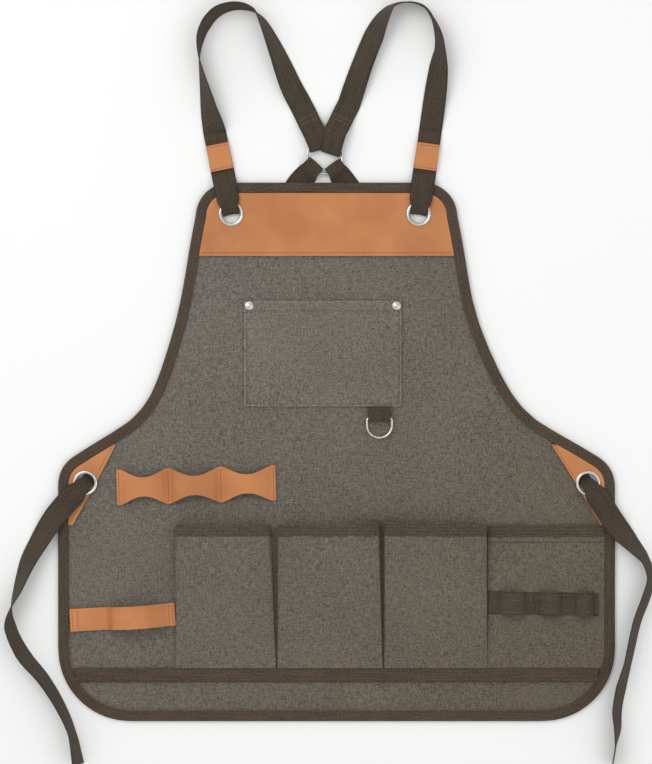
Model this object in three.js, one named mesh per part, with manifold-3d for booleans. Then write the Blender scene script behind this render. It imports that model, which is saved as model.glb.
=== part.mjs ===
// Gardening apron lying face up on a flat surface, bib towards +Y. Units are millimetres, +Z is up.
import * as THREE from 'three';
import Module from 'manifold-3d';
import { mergeVertices } from 'three/addons/utils/BufferGeometryUtils.js';

const wasm = await Module();
wasm.setup();

// Cloth, tape, leather and clearance
const CLEARANCE = 0.3;
const CANVAS = 1.2;
const TAPE = 1.4;
const LEATHER = 1.8;
const WEBBING_WIDTH = 25;

// Body outline
const BODY_LENGTH = 592;
const SKIRT_WIDTH = 612;
const BOTTOM_RADIUS = 79;
const WAIST_HEIGHT = 260;
const WAIST_RADIUS = 36;
const WAIST_TURN = 59;
const BIB_WIDTH = 288;
const BIB_RADIUS = 37;
const BIB_SHIFT = -11;
const SHIFT_START = 250;
const SHIFT_END = 470;
const BINDING_REACH = 11.5;

// Armhole edge from the waist corner up to the bib corner, as shares of its height and of its reach
const ARMHOLE = [
  { up: 0.05, out: 0.851 },
  { up: 0.101, out: 0.692 },
  { up: 0.151, out: 0.548 },
  { up: 0.202, out: 0.452 },
  { up: 0.252, out: 0.386 },
  { up: 0.303, out: 0.336 },
  { up: 0.353, out: 0.294 },
  { up: 0.454, out: 0.221 },
  { up: 0.555, out: 0.159 },
  { up: 0.656, out: 0.112 },
  { up: 0.756, out: 0.079 },
  { up: 0.857, out: 0.049 },
  { up: 0.94, out: 0.022 },
];

// Leather on the body
const BIB_LEATHER_HEIGHT = 80.5;
const WAIST_LEATHER_ABOVE = 44;
const WAIST_LEATHER_TIP = { left: 3, right: 6 };
const WAIST_LEATHER_FOOT = 4.5;

// Eyelets
const EYELET_OUTER = 27;
const EYELET_BORE = 20.5;
const EYELET_WALL = 0.9;
const BIB_EYELET_SPREAD = 103;
const BIB_EYELET_DROP = 34.6;
const BIB_EYELET_ASIDE = -1.8;
const WAIST_EYELET_INSET = 30;
const WAIST_EYELET_RISE = 2;

// Back ring where the four webbing ends meet, above the bib's top edge
const RING_RADIUS = 19.1;
const RING_WIRE = 2.6;
const RING_RISE = 29;
const RING_ASIDE = -2;

// Shoulder straps and ties: the reach of each loop, then its stations as shares of that reach
const STRAP_RISE = 199;
const TIE_DROP = 309;
const TIE_REACH = 80;

// Bend of each waist strap behind the body, inwards of its eyelet and above it
const BEND_IN = 104;
const BEND_UP = 86;

// Chest pocket with its rivets, tab and D ring
const CHEST_WIDTH = 173;
const CHEST_HEIGHT = 116;
const CHEST_BOTTOM = 346;
const CHEST_CENTRE = -15;
const RIVET_DIAMETER = 9.5;
const RIVET_INSET = 5.5;
const TAB_LENGTH = 16;
const TAB_WIDTH = 24;
const TAB_CENTRE = 47;
const D_WIRE = 2.8;
const D_LENGTH = 21;

// Row of pockets along the skirt
const BASE_TAPE_BOTTOM = 43.5;
const BASE_TAPE_HEIGHT = 15;
const POCKET_WIDTH = 112;
const POCKET_HEIGHT = 157;
const POCKET_DEPTH = 13;
const POCKET_START = -175.5;
const PLEAT_GAP = 3;
const PLEAT_INSET = 5;
const HEM_HEIGHT = 18;
const HEM_EXTRA = 1;
// Each pocket's width and the inward lean of its right edge at the rim, as shares of the pocket width,
// and the form of its rim as shares of the hem
const POCKETS = [
  { name: 'pocket_left', width: 0.973, lean: 0.066, leftRise: 0, dip: 0, rightRise: 0 },
  { name: 'pocket_middle', width: 1.018, lean: 0.04, leftRise: 0, dip: 0.167, rightRise: 0.333 },
  { name: 'pocket_right', width: 1, lean: 0.01, leftRise: 0.333, dip: 0, rightRise: 0 },
];

// Leather holder with three loops, and the two loop strips
const HOLDER_INSET = 64.5;
const HOLDER_LENGTH = 175;
const HOLDER_HEIGHT = 39;
const HOLDER_WAIST = 21;
const HOLDER_DROP = 3;
const HOLDER_TURN = 1.7;
const HOLDER_LOOPS = [
  { from: 0.03, to: 0.31, rise: 6 },
  { from: 0.34, to: 0.64, rise: 9 },
  { from: 0.67, to: 0.97, rise: 6 },
];
const AXE_LOOP_GAP = 1.5;
const AXE_LOOP_WIDTH = 25;
const AXE_LOOP_CENTRE = 111;
const AXE_LOOP_TURN = 3.4;
const AXE_LOOP_RISE = 18;
const STAKE_LOOPS_START = 1;
const STAKE_LOOPS_GAP = 6.4;
const STAKE_LOOPS_CENTRE = 131;
const STAKE_LOOPS_TURN = -1.2;
const STAKE_LOOPS = [
  { from: 0.1, to: 0.34, rise: 10 },
  { from: 0.46, to: 0.66, rise: 10 },
  { from: 0.79, to: 0.95, rise: 10 },
];

// Leather keeper on each shoulder strap, by its distance along the strap from the eyelet's centre
const KEEPER_LENGTH = 29;
const KEEPER_DISTANCE = 49.3;

// Levels: the body rests on its binding, and is lifted above the hem where webbing runs beneath it
const PANEL_BASE = TAPE + CLEARANCE;
const PANEL_TOP = PANEL_BASE + CANVAS;
const ON_PANEL = PANEL_TOP + CLEARANCE;
const LIFT = TAPE + CLEARANCE;
const POCKET_BASE = BASE_TAPE_BOTTOM + BASE_TAPE_HEIGHT;
const POCKET_TOP = POCKET_BASE + POCKET_HEIGHT;
const LIFT_TOP = POCKET_TOP + 8;
const WALL_INSET = TAPE + CLEARANCE;
const INNER_INSET = BINDING_REACH + CLEARANCE;

const apron = new THREE.Group();
const point = (x, y, z) => new THREE.Vector3(x, y, z);
const radians = THREE.MathUtils.degToRad;
const mix = THREE.MathUtils.lerp;

const canvasCloth = new THREE.MeshStandardMaterial({ color: 0x70685c, roughness: 0.95 });
const tapeCloth = new THREE.MeshStandardMaterial({ color: 0x524a3c, roughness: 0.9 });
const tanLeather = new THREE.MeshStandardMaterial({ color: 0xc88452, roughness: 0.6 });
const nickel = new THREE.MeshStandardMaterial({ color: 0xb8b8b6, roughness: 0.3, metalness: 1 });

function add(name, geometry, material, parent = apron) {
  const mesh = new THREE.Mesh(geometry, material);
  mesh.name = name;
  parent.add(mesh);
  return mesh;
}

// Height that the body is raised above its level at the hem
function lift(y) {
  return LIFT * THREE.MathUtils.clamp((y - POCKET_BASE) / (LIFT_TOP - POCKET_BASE), 0, 1);
}

function raise(geometry) {
  const places = geometry.attributes.position;
  for (let i = 0; i < places.count; i += 1) {
    places.setZ(i, places.getZ(i) + lift(places.getY(i)));
  }
  return geometry;
}

// Sideways place of the body's centre line, which steps over to the bib above the waist
function centre(y) {
  return BIB_SHIFT * THREE.MathUtils.smoothstep(y, SHIFT_START, SHIFT_END);
}

// Indexed mesh whose faces are turned outwards
function closed(points, faces) {
  let volume = 0;
  for (let i = 0; i < faces.length; i += 3) {
    const a = points[faces[i]];
    const b = points[faces[i + 1]];
    const c = points[faces[i + 2]];
    volume += a.dot(b.clone().cross(c));
  }
  const index = volume < 0 ? faces.toReversed() : faces;
  const geometry = new THREE.BufferGeometry().setFromPoints(points);
  geometry.setIndex(index);
  geometry.computeVertexNormals();
  return geometry;
}

// Solid through rings of equally many points, round in a loop or with flat ends
function skin(rings, looped = false) {
  const size = rings[0].length;
  const faces = [];
  const spans = looped ? rings.length : rings.length - 1;
  for (let i = 0; i < spans; i += 1) {
    const here = i * size;
    const next = ((i + 1) % rings.length) * size;
    for (let j = 0; j < size; j += 1) {
      const k = (j + 1) % size;
      faces.push(here + j, here + k, next + k, here + j, next + k, next + j);
    }
  }
  if (!looped) {
    const last = (rings.length - 1) * size;
    for (let j = 1; j < size - 1; j += 1) {
      faces.push(0, j + 1, j, last, last + j, last + j + 1);
    }
  }
  return closed(rings.flat(), faces);
}

// Sheet of cloth or leather: rows of points on its underside, and its thickness on each row
function sheet(rows, thickness) {
  const height = rows.length;
  const width = rows[0].length;
  const under = rows.flat();
  const over = [];
  for (let i = 0; i < height; i += 1) {
    for (let j = 0; j < width; j += 1) {
      const along = rows[i][Math.min(j + 1, width - 1)].clone().sub(rows[i][Math.max(j - 1, 0)]);
      const up = rows[Math.min(i + 1, height - 1)][j].clone().sub(rows[Math.max(i - 1, 0)][j]);
      const normal = along.cross(up).normalize();
      const thick = Array.isArray(thickness) ? thickness[i] : thickness;
      over.push(rows[i][j].clone().addScaledVector(normal, thick));
    }
  }
  const count = under.length;
  const faces = [];
  const quad = (a, b, c, d) => faces.push(a, b, c, a, c, d);
  for (let i = 0; i < height - 1; i += 1) {
    for (let j = 0; j < width - 1; j += 1) {
      const a = i * width + j;
      quad(a + width, a + width + 1, a + 1, a);
      quad(count + a, count + a + 1, count + a + width + 1, count + a + width);
    }
  }
  for (let j = 0; j < width - 1; j += 1) {
    const top = (height - 1) * width + j;
    quad(j, j + 1, count + j + 1, count + j);
    quad(count + top, count + top + 1, top + 1, top);
  }
  for (let i = 0; i < height - 1; i += 1) {
    const left = i * width;
    const right = left + width - 1;
    quad(count + left, count + left + width, left + width, left);
    quad(right, right + width, count + right + width, count + right);
  }
  return closed([...under, ...over], faces);
}

// The same geometry with round holes cut through it
function pierced(geometry, holes) {
  const toSolid = (source) => {
    const bare = source.clone();
    bare.deleteAttribute('normal');
    bare.deleteAttribute('uv');
    const merged = mergeVertices(bare, 1e-4);
    return new wasm.Manifold(new wasm.Mesh({
      numProp: 3,
      vertProperties: new Float32Array(merged.attributes.position.array),
      triVerts: new Uint32Array(merged.index.array),
    }));
  };
  let solid = toSolid(geometry);
  for (const hole of holes) {
    const drill = new THREE.CylinderGeometry(hole.radius, hole.radius, 60, 24);
    drill.rotateX(Math.PI / 2);
    drill.translate(hole.x, hole.y, 0);
    solid = solid.subtract(toSolid(drill));
  }
  const mesh = solid.getMesh();
  const result = new THREE.BufferGeometry();
  result.setAttribute('position', new THREE.BufferAttribute(new Float32Array(mesh.vertProperties), 3));
  result.setIndex(new THREE.BufferAttribute(new Uint32Array(mesh.triVerts), 1));
  result.computeVertexNormals();
  return result;
}

// Right half of the outline from the hem up to the bib's top edge
function sideOutline() {
  const half = SKIRT_WIDTH / 2;
  const points = [];
  const arc = (x, y, radius, from, to, steps) => {
    for (let i = 0; i <= steps; i += 1) {
      const angle = radians(mix(from, to, i / steps));
      points.push({ x: x + radius * Math.cos(angle), y: y + radius * Math.sin(angle) });
    }
  };
  arc(half - BOTTOM_RADIUS, BOTTOM_RADIUS, BOTTOM_RADIUS, -90, 0, 9);
  for (let i = 1; i < 6; i += 1) {
    points.push({ x: half, y: mix(BOTTOM_RADIUS, WAIST_HEIGHT, i / 6) });
  }
  arc(half - WAIST_RADIUS, WAIST_HEIGHT, WAIST_RADIUS, 0, WAIST_TURN, 6);
  const waist = points[points.length - 1];
  const bib = { x: BIB_WIDTH / 2, y: BODY_LENGTH - BIB_RADIUS };
  for (const step of ARMHOLE) {
    points.push({ x: mix(bib.x, waist.x, step.out), y: mix(waist.y, bib.y, step.up) });
  }
  arc(bib.x - BIB_RADIUS, bib.y, BIB_RADIUS, 0, 90, 7);
  return points;
}

const SIDE = sideOutline();

// Whole outline moved inwards by inset, before the bib's sideways step
function outline(inset) {
  const left = SIDE.map((p) => ({ x: -p.x, y: p.y })).toReversed();
  const all = [...SIDE, ...left];
  return all.map((p, i) => {
    const before = all[(i + all.length - 1) % all.length];
    const after = all[(i + 1) % all.length];
    const a = new THREE.Vector2(p.x - before.x, p.y - before.y).normalize();
    const b = new THREE.Vector2(after.x - p.x, after.y - p.y).normalize();
    const inward = new THREE.Vector2(-(a.y + b.y), a.x + b.x).normalize();
    const reach = inset / Math.max(0.5, inward.dot(new THREE.Vector2(-a.y, a.x)));
    return { x: p.x + inward.x * reach, y: p.y + inward.y * reach };
  });
}

// Right edge of the outline at inset between two heights, from low to high
function edge(inset, low, high) {
  const side = outline(inset).slice(0, SIDE.length);
  const at = (y) => {
    const i = Math.max(1, side.findIndex((p) => p.y >= y));
    const share = (y - side[i - 1].y) / (side[i].y - side[i - 1].y);
    return { x: mix(side[i - 1].x, side[i].x, share), y };
  };
  const within = side.filter((p) => p.y > low + 0.5 && p.y < high - 0.5);
  return [at(low), ...within, at(high)];
}

// Row of points at one height from left to right
function row(left, right, y, z, steps) {
  return Array.from({ length: steps + 1 }, (_, i) => point(mix(left, right, i / steps), y, z));
}

// Flat piece that fills the outline at inset between two heights
function field(inset, low, high, z, steps) {
  return edge(inset, low, high).map((p) => row(centre(p.y) - p.x, centre(p.y) + p.x, p.y, z, steps));
}

const strapCentre = BIB_SHIFT + BIB_EYELET_ASIDE;
const bibEyelets = [-1, 1].map((side) => ({
  side,
  x: strapCentre + side * BIB_EYELET_SPREAD,
  y: BODY_LENGTH - BIB_EYELET_DROP,
  radius: EYELET_BORE / 2 + EYELET_WALL + CLEARANCE,
}));
const waistEyelets = [-1, 1].map((side) => ({
  side,
  x: side * (SKIRT_WIDTH / 2 - WAIST_EYELET_INSET),
  y: WAIST_HEIGHT + WAIST_EYELET_RISE,
  radius: EYELET_BORE / 2 + EYELET_WALL + CLEARANCE,
}));
const sideName = (side) => (side < 0 ? 'left' : 'right');

// Body cloth with its four eyelet holes
function canvasPanel() {
  const low = WALL_INSET;
  const high = BODY_LENGTH - WALL_INSET;
  const rows = field(WALL_INSET, low, high, PANEL_BASE, 4);
  add('canvas_panel', pierced(raise(sheet(rows, CANVAS)), [...bibEyelets, ...waistEyelets]), canvasCloth);
}

// Tape folded over the whole edge of the body cloth
function edgeBinding() {
  const under = PANEL_BASE - CLEARANCE;
  const over = PANEL_TOP + CLEARANCE;
  const profile = [
    { inset: 0, z: under - TAPE },
    { inset: 0, z: over + TAPE },
    { inset: BINDING_REACH, z: over + TAPE },
    { inset: BINDING_REACH, z: over },
    { inset: TAPE, z: over },
    { inset: TAPE, z: under },
    { inset: BINDING_REACH, z: under },
    { inset: BINDING_REACH, z: under - TAPE },
  ];
  const lines = profile.map((corner) => outline(corner.inset));
  const rings = SIDE.concat(SIDE).map((_, i) => profile.map((corner, k) => {
    const p = lines[k][i];
    return point(p.x + centre(p.y), p.y, corner.z);
  }));
  add('edge_binding', raise(skin(rings, true)), tapeCloth);
}

function bodyLeather() {
  const top = BODY_LENGTH - INNER_INSET;
  const rows = field(INNER_INSET, top + INNER_INSET - BIB_LEATHER_HEIGHT - CLEARANCE, top, ON_PANEL, 2);
  add('bib_leather', pierced(raise(sheet(rows, LEATHER)), bibEyelets), tanLeather);
  const foot = POCKET_TOP + CLEARANCE;
  const tip = WAIST_HEIGHT + WAIST_LEATHER_ABOVE;
  for (const hole of waistEyelets) {
    const name = sideName(hole.side);
    const corner = edge(INNER_INSET, foot, tip);
    const innerFoot = corner[0].x - WAIST_LEATHER_FOOT;
    const innerTip = corner[corner.length - 1].x - WAIST_LEATHER_TIP[name];
    const patch = corner.map((p) => {
      const inner = mix(innerFoot, innerTip, (p.y - foot) / (tip - foot));
      const ends = [centre(p.y) + hole.side * inner, centre(p.y) + hole.side * p.x];
      return row(Math.min(...ends), Math.max(...ends), p.y, ON_PANEL, 1);
    });
    add(`waist_leather_${name}`, pierced(raise(sheet(patch, LEATHER)), [hole]), tanLeather);
  }
}

// Metal eyelet clenched over cloth and leather
function eyelet(name, hole) {
  const under = PANEL_BASE - CLEARANCE;
  const over = ON_PANEL + LEATHER + CLEARANCE;
  const bore = EYELET_BORE / 2;
  const rim = EYELET_OUTER / 2;
  const profile = [
    [bore, under - EYELET_WALL * 0.5],
    [bore + EYELET_WALL, under - EYELET_WALL],
    [rim, under - EYELET_WALL * 0.6],
    [rim, under],
    [bore + EYELET_WALL, under],
    [bore + EYELET_WALL, over],
    [rim, over],
    [rim - 0.6, over + EYELET_WALL * 0.8],
    [bore + EYELET_WALL, over + EYELET_WALL],
    [bore, over + EYELET_WALL * 0.4],
  ];
  const line = [...profile, profile[0]].map(([x, y]) => new THREE.Vector2(x, y));
  const shape = mergeVertices(new THREE.LatheGeometry(line, 20));
  shape.rotateX(Math.PI / 2);
  const mesh = add(name, shape, nickel);
  mesh.position.set(hole.x, hole.y, lift(hole.y));
}

// Webbing through stations, each with a place, an optional tilt in degrees, width and width direction
function webbing(stations, thickness) {
  const up = point(0, 0, 1);
  const rings = stations.map((station, i) => {
    const before = stations[Math.max(i - 1, 0)].at;
    const after = stations[Math.min(i + 1, stations.length - 1)].at;
    const ahead = after.clone().sub(before).normalize();
    const flat = station.right ?? point(ahead.y, -ahead.x, 0).normalize();
    const tilt = radians(station.tilt ?? 0);
    const across = flat.clone().multiplyScalar(Math.cos(tilt)).addScaledVector(up, Math.sin(tilt));
    if (!station.right) {
      across.addScaledVector(ahead, -across.dot(ahead)).normalize();
    }
    const normal = across.clone().cross(ahead).normalize();
    const half = (station.width ?? WEBBING_WIDTH) / 2;
    return [[-1, -1], [1, -1], [1, 1], [-1, 1]].map(([a, b]) => station.at.clone()
      .addScaledVector(across, a * half)
      .addScaledVector(normal, b * thickness / 2));
  });
  return skin(rings);
}

// Height of the middle of webbing that stands on the floor at a tilt
function standing(tilt) {
  const angle = radians(tilt);
  return (WEBBING_WIDTH * Math.abs(Math.sin(angle)) + TAPE * Math.abs(Math.cos(angle))) / 2;
}

// Smooth run through stations that keeps each of them
function smooth(stations, steps) {
  const places = new THREE.CatmullRomCurve3(stations.map((s) => s.at), false, 'centripetal');
  const result = [];
  for (let i = 0; i < stations.length - 1; i += 1) {
    for (let k = 0; k < steps; k += 1) {
      const share = k / steps;
      const at = places.getPoint((i + share) / (stations.length - 1));
      const tilt = mix(stations[i].tilt ?? 0, stations[i + 1].tilt ?? 0, share);
      const width = mix(
        stations[i].width ?? WEBBING_WIDTH,
        stations[i + 1].width ?? WEBBING_WIDTH,
        share,
      );
      result.push({ at, tilt, width });
    }
  }
  result.push(stations[stations.length - 1]);
  return result;
}

const ringCentre = point(
  BIB_SHIFT + RING_ASIDE,
  BODY_LENGTH + RING_RISE,
  TAPE * 2 + CLEARANCE * 3 + RING_WIRE / 2,
);

// Half turn of webbing round the ring's wire: the first station lies above, the last one beneath
function ringFold(place, heading, radius, width, right) {
  const turns = [90, 45, 0, -45, -90];
  return turns.map((degrees) => {
    const angle = radians(degrees);
    const at = place.clone().addScaledVector(heading, -radius * Math.cos(angle));
    at.z = ringCentre.z + radius * Math.sin(angle);
    return { at, width, right };
  });
}

// Inner legs, arcs and outer legs of the shoulder straps, across and up as shares of their loop
const LEFT_STRAP = [
  { across: 0.36, up: 0.53, tilt: -16 },
  { across: 0.488, up: 0.689, tilt: -42 },
  { across: 0.584, up: 0.803, tilt: -58 },
  { across: 0.67, up: 0.891, tilt: -72 },
  { across: 0.75, up: 0.943, tilt: -90 },
  { across: 0.861, up: 0.966, tilt: -99 },
  { across: 1, up: 0.967, tilt: -104 },
  { across: 1.149, up: 0.937, tilt: -110 },
  { across: 1.256, up: 0.876, tilt: -112 },
  { across: 1.322, up: 0.798, tilt: -106 },
  { across: 1.338, up: 0.694, tilt: -90 },
  { across: 1.309, up: 0.596, tilt: -78 },
  { across: 1.272, up: 0.503, tilt: -63 },
  { across: 1.234, up: 0.404, tilt: -45 },
  { across: 1.187, up: 0.306, tilt: -18 },
];
const RIGHT_STRAP = [
  { across: 0.3, up: 0.5, tilt: 8 },
  { across: 0.397, up: 0.645, tilt: 22 },
  { across: 0.519, up: 0.803, tilt: 28 },
  { across: 0.62, up: 0.908, tilt: 54 },
  { across: 0.727, up: 0.972, tilt: 78 },
  { across: 0.898, up: 0.99, tilt: 83 },
  { across: 1.058, up: 0.965, tilt: 85 },
  { across: 1.143, up: 0.902, tilt: 90 },
  { across: 1.207, up: 0.809, tilt: 104 },
  { across: 1.223, up: 0.732, tilt: 114 },
  { across: 1.212, up: 0.634, tilt: 141 },
  { across: 1.191, up: 0.536, tilt: 158 },
  { across: 1.164, up: 0.426, tilt: 172 },
  { across: 1.13, up: 0.3, tilt: 180 },
];
// Climb of each shoulder strap from its eyelet, by distance above the eyelet's centre
const STRAP_DIVE = [
  { from: 92, z: 0.7, width: 25 },
  { from: 81, z: 2.4, width: 25 },
  { from: 45, z: 2.4, width: 25 },
  { from: 36, z: 7.4, width: 25 },
  { from: 22, z: 8.2, width: 25 },
  { from: 14, z: 9.2, width: 24 },
  { from: 9.5, z: 9.3, width: 21 },
  { from: 5.5, z: 8.9, width: 18 },
  { from: 2, z: 6.2, width: 18 },
  { from: -0.2, z: 3.8, width: 18 },
  { from: 0.5, z: 2, width: 18 },
  { from: 3, z: 1.2, width: 18 },
  { from: 9.5, z: 0.8, width: 20 },
  { from: 14, z: 0.7, width: 22 },
  { from: 22, z: 0.7, width: 25 },
  { from: 79, z: 0.7, width: 25 },
];

// Upper webbing ends at the ring: the folds' radius, place from the ring's centre and turn in degrees
const LEFT_END = { fold: 2.4, aside: 6.2, rise: 9.4, turn: 18 };
const RIGHT_END = { fold: 4.1, aside: 7.3, rise: 6.2, turn: 18 };
// The webbing above and beneath the folds, by height above the ring's centre
const UPPER_RUN = [
  { up: 26, aside: 11.5, left: 7.2, right: 8.9 },
  { up: 35, aside: 16, left: 5.2, right: 6.2 },
  { up: 46, aside: 21, left: 2.45, right: 2.45 },
  { up: 58, aside: 27, left: 0.7, right: 0.7 },
];
const UPPER_RETURN = [
  { up: 44, aside: 20, left: 0.7, right: 0.7 },
  { up: 33, aside: 15.5, left: 2.4, right: 0.7 },
  { up: 22, aside: 9.5, left: 2.4, right: 0.7 },
];
const FOLD_WIDTH = 22;
const RETURN_WIDTH = 24;

function shoulderStrap(side, table, end) {
  const name = sideName(side);
  const hole = bibEyelets.find((eye) => eye.side === side);
  const place = (up, aside, z) => point(ringCentre.x + side * aside, ringCentre.y + up, z);
  const heading = point(side * Math.sin(radians(end.turn)), Math.cos(radians(end.turn)), 0);
  const across = point(heading.y, -heading.x, 0);
  const back = UPPER_RETURN.map((s) => ({
    at: place(s.up, s.aside, s[name]),
    right: across,
    width: RETURN_WIDTH,
  }));
  const turn = place(end.rise, end.aside, 0);
  const fold = ringFold(turn, heading, end.fold, FOLD_WIDTH, across).toReversed();
  const leg = UPPER_RUN.map((s) => ({ at: place(s.up, s.aside, s[name]), tilt: 0 }));
  const loop = table.map((s) => ({
    at: point(
      strapCentre + side * s.across * BIB_EYELET_SPREAD,
      BODY_LENGTH + s.up * STRAP_RISE,
      standing(s.tilt),
    ),
    tilt: s.tilt,
  }));
  const last = loop[loop.length - 1];
  const down = point(hole.x - last.at.x, hole.y - last.at.y, 0).normalize();
  const along = (from, z) => point(hole.x - down.x * from, hole.y - down.y * from, z);
  const right = point(down.y, -down.x, 0);
  const flip = Math.abs(last.tilt) > 90 ? 180 : 0;
  const dive = STRAP_DIVE.map((s) => ({ at: along(s.from, s.z), width: s.width, right, tilt: flip }));
  const open = smooth([leg[leg.length - 1], ...loop, { ...dive[0], right: undefined }], 3);
  for (const station of open) {
    station.at.z = Math.max(station.at.z, standing(station.tilt));
  }
  const stations = [...back, ...fold, ...leg.slice(0, -1), ...open, ...dive.slice(1)];
  add(`shoulder_strap_${name}`, webbing(stations, TAPE), tapeCloth);
  const level = TAPE * 2 + CLEARANCE * 2 + LEATHER / 2;
  const ends = [KEEPER_DISTANCE + KEEPER_LENGTH, KEEPER_DISTANCE].map((from) => ({
    at: along(from, level),
    right,
  }));
  add(`keeper_${name}`, webbing(ends, LEATHER), tanLeather);
}

// Free ties from the waist eyelets, as shares of their outward reach and of their drop
const LEFT_TIE = [
  { out: 0.234, down: 0.064, tilt: -5, z: 8.9 },
  { out: 0.43, down: 0.125, tilt: -15, z: 9.2 },
  { out: 0.66, down: 0.221, tilt: -34 },
  { out: 0.784, down: 0.281, tilt: -44 },
  { out: 0.914, down: 0.374, tilt: -64 },
  { out: 1.018, down: 0.452, tilt: -90 },
  { out: 1.024, down: 0.506, tilt: -112 },
  { out: 0.843, down: 0.609, tilt: -120 },
  { out: 0.578, down: 0.691, tilt: -114 },
  { out: 0.358, down: 0.78, tilt: -109 },
  { out: 0.179, down: 0.883, tilt: -103 },
  { out: 0.089, down: 1, tilt: -114 },
];
const RIGHT_TIE = [
  { out: 0.193, down: 0.075, tilt: 5, z: 8.6 },
  { out: 0.385, down: 0.15, tilt: 12, z: 8.6 },
  { out: 0.619, down: 0.221, tilt: 48 },
  { out: 0.784, down: 0.274, tilt: 66 },
  { out: 0.853, down: 0.335, tilt: 67 },
  { out: 0.798, down: 0.399, tilt: 63 },
  { out: 0.667, down: 0.491, tilt: 64 },
  { out: 0.536, down: 0.641, tilt: 66 },
  { out: 0.448, down: 0.726, tilt: 59 },
  { out: 0.393, down: 0.808, tilt: 61 },
  { out: 0.399, down: 0.872, tilt: 68 },
  { out: 0.371, down: 0.933, tilt: 82 },
  { out: 0.33, down: 1, tilt: 83 },
];

// Rise of the webbing through a waist eyelet, by distance along its run from the eyelet's centre
const TIE_RISE = [
  { from: -24, z: 0.7, width: 25 },
  { from: -14, z: 0.8, width: 20 },
  { from: -9, z: 1, width: 18 },
  { from: -5, z: 1.3, width: 15 },
  { from: 5, z: 8.7, width: 17 },
  { from: 10, z: 9.4, width: 20 },
  { from: 15, z: 9.3, width: 24 },
];

// Lower webbing ends at the ring, by distance from the ring's centre along their run
const LOWER_RETURN = [
  { from: 24, z: 0.7 },
  { from: 19, z: 1.7 },
];
const LOWER_RUN = [
  { from: 21, z: 7.2, width: 21 },
  { from: 26.5, z: 0.7, width: 24 },
];
const LOWER_FOLD = 14.1;
const LOWER_FOLD_WIDTH = 20;

function waistStrap(side, table, heading) {
  const name = sideName(side);
  const hole = waistEyelets.find((eye) => eye.side === side);
  const run = point(side * heading.across, -heading.down, 0).normalize();
  const right = point(run.y, -run.x, 0);
  const start = ringCentre.clone().addScaledVector(right, -side * heading.aside);
  const along = (from, z) => point(start.x + run.x * from, start.y + run.y * from, z);
  const back = LOWER_RETURN.map((s) => ({ at: along(s.from, s.z), right, width: LOWER_FOLD_WIDTH }));
  const fold = ringFold(along(LOWER_FOLD, 0), run, 2.4, LOWER_FOLD_WIDTH, right).toReversed();
  const leg = LOWER_RUN.map((s) => ({ at: along(s.from, s.z), right, width: s.width }));
  const behind = along(RING_RISE + 12, TAPE / 2);
  const bend = point(hole.x - side * BEND_IN, hole.y + BEND_UP, TAPE / 2);
  const toHole = point(hole.x - bend.x, hole.y - bend.y, 0).normalize();
  const away = point(side * table[0].out * TIE_REACH, -table[0].down * TIE_DROP, 0).normalize();
  const rise = TIE_RISE.map((s) => {
    const way = s.from < 0 ? toHole : away;
    return {
      at: point(hole.x + way.x * s.from, hole.y + way.y * s.from, s.z),
      width: s.width,
      right: point(away.y, -away.x, 0),
    };
  });
  const tie = smooth(table.map((s) => ({
    at: point(
      hole.x + side * s.out * TIE_REACH,
      hole.y - s.down * TIE_DROP,
      s.z ?? standing(s.tilt),
    ),
    tilt: s.tilt,
  })), 3);
  for (const station of tie) {
    station.at.z = Math.max(station.at.z, standing(station.tilt));
  }
  const hidden = smooth([
    { at: behind },
    { at: behind.clone().lerp(bend, 0.8) },
    { at: bend.clone().lerp(rise[0].at, 0.2) },
    { at: rise[0].at },
  ], 4);
  const stations = [...back, ...fold, ...leg, ...hidden.slice(0, -1), ...rise, ...tie];
  add(`waist_strap_${name}`, webbing(stations, TAPE), tapeCloth);
}

function backRing() {
  const ring = add('back_ring', new THREE.TorusGeometry(RING_RADIUS, RING_WIRE / 2, 8, 32), nickel);
  ring.position.copy(ringCentre);
}

function chestPocket() {
  const low = CHEST_BOTTOM;
  const high = CHEST_BOTTOM + CHEST_HEIGHT;
  const left = CHEST_CENTRE - CHEST_WIDTH / 2;
  const right = CHEST_CENTRE + CHEST_WIDTH / 2;
  const rows = [low, high].map((y) => row(left, right, y, ON_PANEL, 1));
  add('chest_pocket', raise(sheet(rows, CANVAS)), canvasCloth);
  const radius = RIVET_DIAMETER / 2;
  const dome = [[0, 0], [radius, 0], [radius, 0.6], [radius * 0.6, 1.5], [0, 1.8]];
  for (const side of [-1, 1]) {
    const shape = mergeVertices(new THREE.LatheGeometry(dome.map(([x, y]) => new THREE.Vector2(x, y)), 16));
    shape.rotateX(Math.PI / 2);
    const rivet = add(`pocket_rivet_${sideName(side)}`, shape, nickel);
    const x = CHEST_CENTRE + side * (CHEST_WIDTH / 2 - RIVET_INSET);
    rivet.position.set(x, high - RIVET_INSET, ON_PANEL + CANVAS + CLEARANCE + lift(high));
  }
}

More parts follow.
